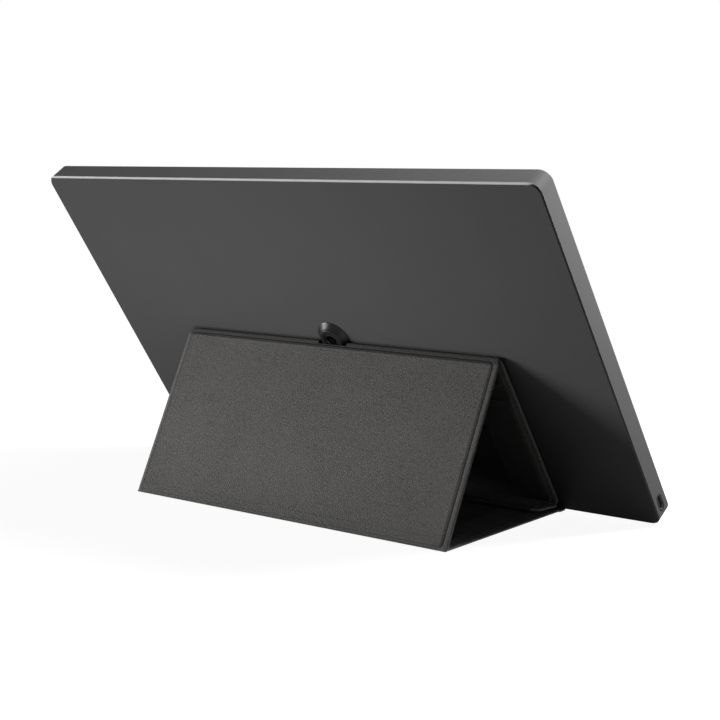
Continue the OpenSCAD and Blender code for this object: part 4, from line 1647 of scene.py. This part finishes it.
@dataclass
class SideKey:
    """One key cap in the side wall, with the flange that holds it and its stem."""

    node: str
    up: float
    length: float
    finishes: Finishes
    width: float = 3.0
    proud: float = 0.3
    depth: float = 5.6
    flange: float = 0.6

    def build(self) -> bpy.types.Object:
        """Lofts the cap, its dished face, the flange and the stem from pill outlines.

        Returns:
            The key.
        """
        wall = MONITOR.width / 2.0
        face = wall + self.proud
        dish = ((1.4, 0.12), (1.1, 0.1), (0.8, 0.05))
        edge = ((0.45, 0.0), (0.25, 0.03), (0.1, 0.1), (0.02, 0.22), (0.0, 0.4))
        rings = [(self.length - 2 * r, self.width - 2 * r, face - drop) for r, drop in dish + edge]
        flange_out = wall - MONITOR.side_wall - 0.1
        broad = (self.length + 2 * self.flange, self.width + 2 * self.flange)
        stem, stem_end = (2.0, 1.2), float(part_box(self.node)[0][0]) / MM
        rings += [
            (self.length, self.width, flange_out), (*broad, flange_out), (*broad, flange_out - 0.8),
            (*stem, flange_out - 0.85), (*stem, stem_end),
        ]
        long, short, out = loft_pills(rings)
        points = OnMonitor().place(-out, self.up + long, -self.depth + short)
        wear_and_shade = np.zeros(long.shape)
        wear_and_shade[len(dish) + 1 : len(dish) + 3] = 0.8
        faces = [wrap_faces(*long.shape), *end_faces(*long.shape)]
        piece = add_piece(f"{self.node}_cap", points, faces, wear_and_shade)
        self.finishes.dress(piece, KEY_CAP)
        fix_outward(piece)
        sharpen(piece, 50.0)
        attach(piece, self.node)
        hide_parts(self.node)
        return piece


def fix_outward(piece: bpy.types.Object) -> None:
    """Turns a closed piece's faces outwards where its volume comes out negative.

    Args:
        piece: The closed piece.
    """
    mesh = piece.data
    mesh.calc_loop_triangles()
    points = np.empty(len(mesh.vertices) * 3)
    mesh.vertices.foreach_get("co", points)
    points = points.reshape(-1, 3)
    corners = np.empty(len(mesh.loop_triangles) * 3, dtype=np.int32)
    mesh.loop_triangles.foreach_get("vertices", corners)
    a, b, c = (points[corners.reshape(-1, 3)[:, k]] for k in range(3))
    if np.einsum("ij,ij->i", a, np.cross(b, c)).sum() < 0.0:
        mesh.flip_normals()


@dataclass
class PortTrim:
    """The thin near-black ring that lines a port's opening in the side wall, as painted shade for the
    recess.
    """

    name: str
    side: float
    up: float
    length: float
    width: float
    finishes: Finishes
    clear: float = 0.15
    rim: float = 1.1
    proud: float = 0.06
    into: float = 0.5

    def build(self) -> bpy.types.Object:
        """Lofts the ring from pill outlines: up its bore, over its face and down its outer edge.

        Returns:
            The ring.
        """
        wall, under = MONITOR.width / 2.0, -0.01
        inner, outer = self.clear, self.clear + self.rim
        steps = [
            (inner, -self.into), (inner, self.proud - 0.05), (inner + 0.05, self.proud),
            (outer - 0.12, self.proud), (outer - 0.03, self.proud - 0.02), (outer, 0.0), (outer, under),
            (inner + 0.3, under), (inner + 0.3, -self.into),
        ]
        rings = [(self.length + 2 * r, self.width + 2 * r, wall + out) for r, out in steps]
        long, short, out = loft_pills(rings, 16)
        points = OnMonitor().place(self.side * out, self.up + long, -MONITOR.port_depth + short)
        piece = add_piece(self.name, points, [wrap_faces(*long.shape, closed=True)])
        self.finishes.dress(piece, PAINTED_SHADE_RECESS)
        fix_outward(piece)
        sharpen(piece)
        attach(piece, "monitor")
        return piece


# A block: four corners at the back, four at the front, and four set in for its bevelled end.
BLOCK_FACES = np.array(
    [
        [0, 3, 2, 1], [0, 1, 5, 4], [1, 2, 6, 5], [2, 3, 7, 6], [3, 0, 4, 7],
        [4, 5, 9, 8], [5, 6, 10, 9], [6, 7, 11, 10], [7, 4, 8, 11], [8, 9, 10, 11],
    ]
)


def block_points(long: float, thick: float, low: float, high: float, bevel: float) -> Array:
    """Corners of a small block with a bevelled front end, as long, short and depth numbers.

    Args:
        long: Its length.
        thick: Its thickness.
        low: Depth of its back end.
        high: Depth of its front end.
        bevel: Size of the bevel.

    Returns:
        Twelve points.
    """
    corners = np.array([[-1.0, -1.0], [1.0, -1.0], [1.0, 1.0], [-1.0, 1.0]])
    base = corners * np.array([long, thick]) / 2.0
    tip = base - np.sign(base) * bevel
    parts = [(base, low), (base, high - bevel), (tip, high)]
    return np.concatenate([np.column_stack([ring, np.full(4, depth)]) for ring, depth in parts])


@dataclass
class Receptacle:
    """A port: a folded metal shell with a rolled mouth, a tongue, and rows of contacts."""

    node: str
    side: float
    up: float
    length: float
    width: float
    tongue: float
    contacts: int
    finishes: Finishes
    wall: float = 0.3
    depth: float = 7.3
    mouth: float = 0.3

    def build(self) -> bpy.types.Object:
        """Lofts the shell inside out, and adds the tongue and its contacts to the same mesh.

        Returns:
            The port, with steel, plastic and gold on it.
        """
        face = MONITOR.width / 2.0 - self.mouth
        tail, back = face - self.depth, face - self.depth + 1.0
        steps = [
            (0.1, tail), (0.0, tail + 0.1), (0.0, face - 0.08), (0.04, face - 0.02), (0.08, face),
            (self.wall - 0.05, face - 0.05), (self.wall, face - 0.25), (self.wall, back),
        ]
        rings = [(self.length - 2 * r, self.width - 2 * r, at) for r, at in steps]
        long, short, out = loft_pills(rings)
        reach = self.length - 3.0
        step = (reach - 1.2) / self.contacts
        blocks = [block_points(reach, self.tongue, back, face - 0.8, 0.12)]
        for place in (np.arange(self.contacts) - (self.contacts - 1) / 2.0) * step:
            for level in (-1.0, 1.0):
                pad = block_points(step * 0.55, 0.05, back + 0.3, face - 1.3, 0.01)
                blocks.append(pad + (place, level * (self.tongue / 2.0 + 0.01), 0.0))
        shell = [wrap_faces(*long.shape), *end_faces(*long.shape)]
        starts = long.size + len(blocks[0]) * np.arange(len(blocks))
        faces = shell + [BLOCK_FACES + start for start in starts]
        on_block = len(BLOCK_FACES)
        counts = [sum(len(part) for part in shell), on_block, on_block * (len(blocks) - 1)]
        flat = np.concatenate([np.stack([long, short, out], axis=-1).reshape(-1, 3), *blocks])
        up, inward = self.up + flat[:, 0], -MONITOR.port_depth + flat[:, 1]
        points = OnMonitor().place(self.side * flat[:, 2], up, inward)
        piece = add_piece(f"{self.node}_shell", points, faces)
        for finish in (PAINTED_SHADE_PORT_SHELL, TONGUE, CONTACT):
            piece.data.materials.append(self.finishes(finish))
        kinds = np.repeat(np.arange(3, dtype=np.int32), counts)
        piece.data.polygons.foreach_set("material_index", kinds)
        fix_outward(piece)
        sharpen(piece)
        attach(piece, "monitor")
        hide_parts(self.node)
        return piece


@dataclass
class Monitor:
    """The monitor: its own pieces, and the CAD nodes that keep their shape."""

    finishes: Finishes

    def build(self) -> list[bpy.types.Object]:
        """Builds the socket, the keys and the ports.

        Returns:
            The pieces.
        """
        socket = TripodSocket(self.finishes)
        keys = [
            SideKey("power_key", 34.0, 12.0, self.finishes),
            SideKey("menu_key_low", 50.0, 8.0, self.finishes),
            SideKey("menu_key_high", 62.0, 8.0, self.finishes),
        ]
        ports = [
            Receptacle("usb_c_receptacle", 1.0, 12.2, 8.94, 3.26, 0.7, 12, self.finishes),
            Receptacle("mini_hdmi_receptacle", -1.0, 11.0, 11.2, 3.1, 0.8, 10, self.finishes),
        ]
        trims = [PortTrim("usb_c_trim", 1.0, 12.2, 8.94, 3.26, self.finishes)]
        rest = (piece.build() for group in (keys, ports, trims) for piece in group)
        return [socket.boss(), socket.threaded(), *rest]

    def dress(self) -> None:
        """Gives every CAD node that shows or lies inside its own finish."""
        table: dict[Finish, tuple[str, ...]] = {
            SHELL: ("rear_housing",),
            BEZEL: ("front_bezel",),
            SCREEN: ("display_cell",),
            FILM: ("diffuser_films", "reflector_film", "led_strip"),
            GUIDE: ("light_guide",),
            TRAY: ("backlight_tray",),
            CIRCUIT: ("timing_board", "main_board", "side_board"),
            CHIP: ("board_parts",),
            STEEL: ("board_shield", "key_switches", "socket_nut", "board_screws"),
            PAD: ("heat_pad",),
            FLEX: ("ribbon_cable", "side_cable"),
            MAGNET: ("holding_magnets", "back_panel_magnets", "base_magnets", "flap_magnets"),
            BOARD: ("long_back_board", "short_back_board", "rear_board", "base_board", "flap_board"),
        }
        for finish, names in table.items():
            for name in names:
                self.finishes.dress(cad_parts[name], finish)


# ---- Studio ----


@dataclass(frozen=True)
class Lamp:
    """A soft area lamp: where it stands, what it faces, how large and how bright it is."""

    name: str
    at: Triple
    to: Triple
    size: Pair
    power: float

    def build(self) -> None:
        """Adds the lamp to the scene."""
        data = bpy.data.lights.new(self.name, "AREA")
        data.shape = "RECTANGLE"
        data.size, data.size_y = self.size
        data.energy = self.power
        lamp = bpy.data.objects.new(self.name, data)
        lamp.location = self.at
        lamp.rotation_euler = (Vector(self.to) - Vector(self.at)).to_track_quat("-Z", "Y").to_euler()
        lamp.visible_camera = False
        bpy.context.scene.collection.objects.link(lamp)


@dataclass
class Studio:
    """White floor and background, four soft lamps and the camera."""

    lens: float = 79.682
    eye: Triple = (-0.600034, 0.697879, 0.220891)
    look: Triple = (0.636403, -0.757195, -0.147129)
    roll: float = -0.93
    glow: float = 0.93
    dim: float = 0.04
    reach: float = 4.0
    lamps: tuple[Lamp, ...] = (
        Lamp("key_lamp", (2.0, 1.35, 0.14), (0.0, 0.0, 0.1), (1.0, 0.24), 47.0),
        Lamp("table_light", (0.05, 0.16, 0.003), (0.05, 0.16, 1.0), (0.34, 0.12), 0.22),
        Lamp("side_lamp", (-0.78, -1.08, 0.12), (-0.16, 0.0, 0.08), (0.4, 0.2), 7.4),
        Lamp("top_lamp", (-0.3, -0.12, 0.42), (-0.17, 0.06, 0.19), (0.15, 0.15), 4.4),
    )

    def camera(self) -> None:
        """Sets the camera at the photograph's place, direction and roll."""
        ahead = Vector(self.look).normalized()
        right = ahead.cross(Vector((0.0, 0.0, 1.0))).normalized()
        up = right.cross(ahead)
        c, s = math.cos(math.radians(self.roll)), math.sin(math.radians(self.roll))
        columns = (c * right + s * up, c * up - s * right, -ahead)
        matrix = Matrix(columns).transposed().to_4x4()
        matrix.translation = Vector(self.eye)
        data = bpy.data.cameras.new("camera")
        data.lens = self.lens
        data.sensor_width = 36.0
        data.clip_start = 0.01
        camera = bpy.data.objects.new("camera", data)
        camera.matrix_world = matrix
        bpy.context.scene.collection.objects.link(camera)
        bpy.context.scene.camera = camera

    def seen(self, tree: bpy.types.NodeTree) -> Any:
        """Gives 1 for rays from the camera, from a reflection or through something clear.

        Args:
            tree: The nodes of the floor's material or of the world.

        Returns:
            The output that carries it.
        """
        path = tree.nodes.new("ShaderNodeLightPath").outputs
        seen = path["Is Camera Ray"]
        for kind in ("Is Glossy Ray", "Is Transmission Ray"):
            add = tree.nodes.new("ShaderNodeMath")
            add.use_clamp = True
            tree.links.new(seen, add.inputs[0])
            tree.links.new(path[kind], add.inputs[1])
            seen = add.outputs[0]
        return seen

    def floor(self) -> None:
        """Lays a wide floor that shows white, keeps the object's shadow, and sends little light up."""
        corners = np.array([[-1.0, -1.0, 0.0], [1.0, -1.0, 0.0], [1.0, 1.0, 0.0], [-1.0, 1.0, 0.0]])
        floor = add_piece("studio_floor", self.reach * corners, [np.array([[0, 1, 2, 3]])])
        s = Shader("studio_floor")
        dull = s.blend(s.noise(3.0, 3.0, 0.6), (0.07, 0.07, 0.07), (0.09, 0.09, 0.09))
        s.set(Base_Color=dull, Roughness=0.9, Specular_IOR_Level=0.0)
        shown = s.nodes.new("ShaderNodeBsdfDiffuse")
        shown.inputs["Color"].default_value = (0.25, 0.25, 0.25, 1.0)
        away = s.nodes.new("ShaderNodeVectorMath")
        away.operation = "LENGTH"
        s.link(s.place, away.inputs[0])
        light = s.nodes.new("ShaderNodeEmission")
        s.link(s.range(away.outputs["Value"], 0.2, 0.5, self.glow, 1.0), light.inputs["Strength"])
        both = s.nodes.new("ShaderNodeAddShader")
        s.link(shown.outputs[0], both.inputs[0])
        s.link(light.outputs[0], both.inputs[1])
        choice = s.nodes.new("ShaderNodeMixShader")
        seen = self.seen(s.material.node_tree)
        for socket, part in zip(choice.inputs, (seen, s.surface.outputs[0], both.outputs[0])):
            s.link(part, socket)
        s.link(choice.outputs[0], s.output.inputs["Surface"])
        floor.data.materials.append(s.material)

    def world(self) -> None:
        """Makes the surroundings white to the camera and in reflections, and dim as a light."""
        world = bpy.data.worlds.new("studio")
        bpy.context.scene.world = world
        world.use_nodes = True
        tree = world.node_tree
        tree.nodes.clear()
        mix = tree.nodes.new("ShaderNodeMixShader")
        tree.links.new(self.seen(tree), mix.inputs[0])
        for socket, strength in zip(mix.inputs[1:], (self.dim, 1.0)):
            sky = tree.nodes.new("ShaderNodeBackground")
            sky.inputs["Color"].default_value = (1.0, 1.0, 1.0, 1.0)
            sky.inputs["Strength"].default_value = strength
            tree.links.new(sky.outputs[0], socket)
        output = tree.nodes.new("ShaderNodeOutputWorld")
        tree.links.new(mix.outputs[0], output.inputs["Surface"])

    def build(self) -> None:
        """Sets up the colour view, camera, floor, world and lamps."""
        bpy.context.scene.view_settings.view_transform = "Standard"
        self.camera()
        self.floor()
        self.world()
        for lamp in self.lamps:
            lamp.build()


def main() -> None:
    """Builds the studio, the cover and the monitor in order."""
    logging.basicConfig(level=logging.INFO, format="%(name)s: %(message)s")
    finishes = Finishes()
    Studio().build()
    monitor = Monitor(finishes)
    made = Cover(finishes).build() + monitor.build()
    monitor.dress()
    for piece in made:
        LOG.info("%s: %d faces", piece.name, len(piece.data.polygons))


if __name__ == "__main__":
    main()
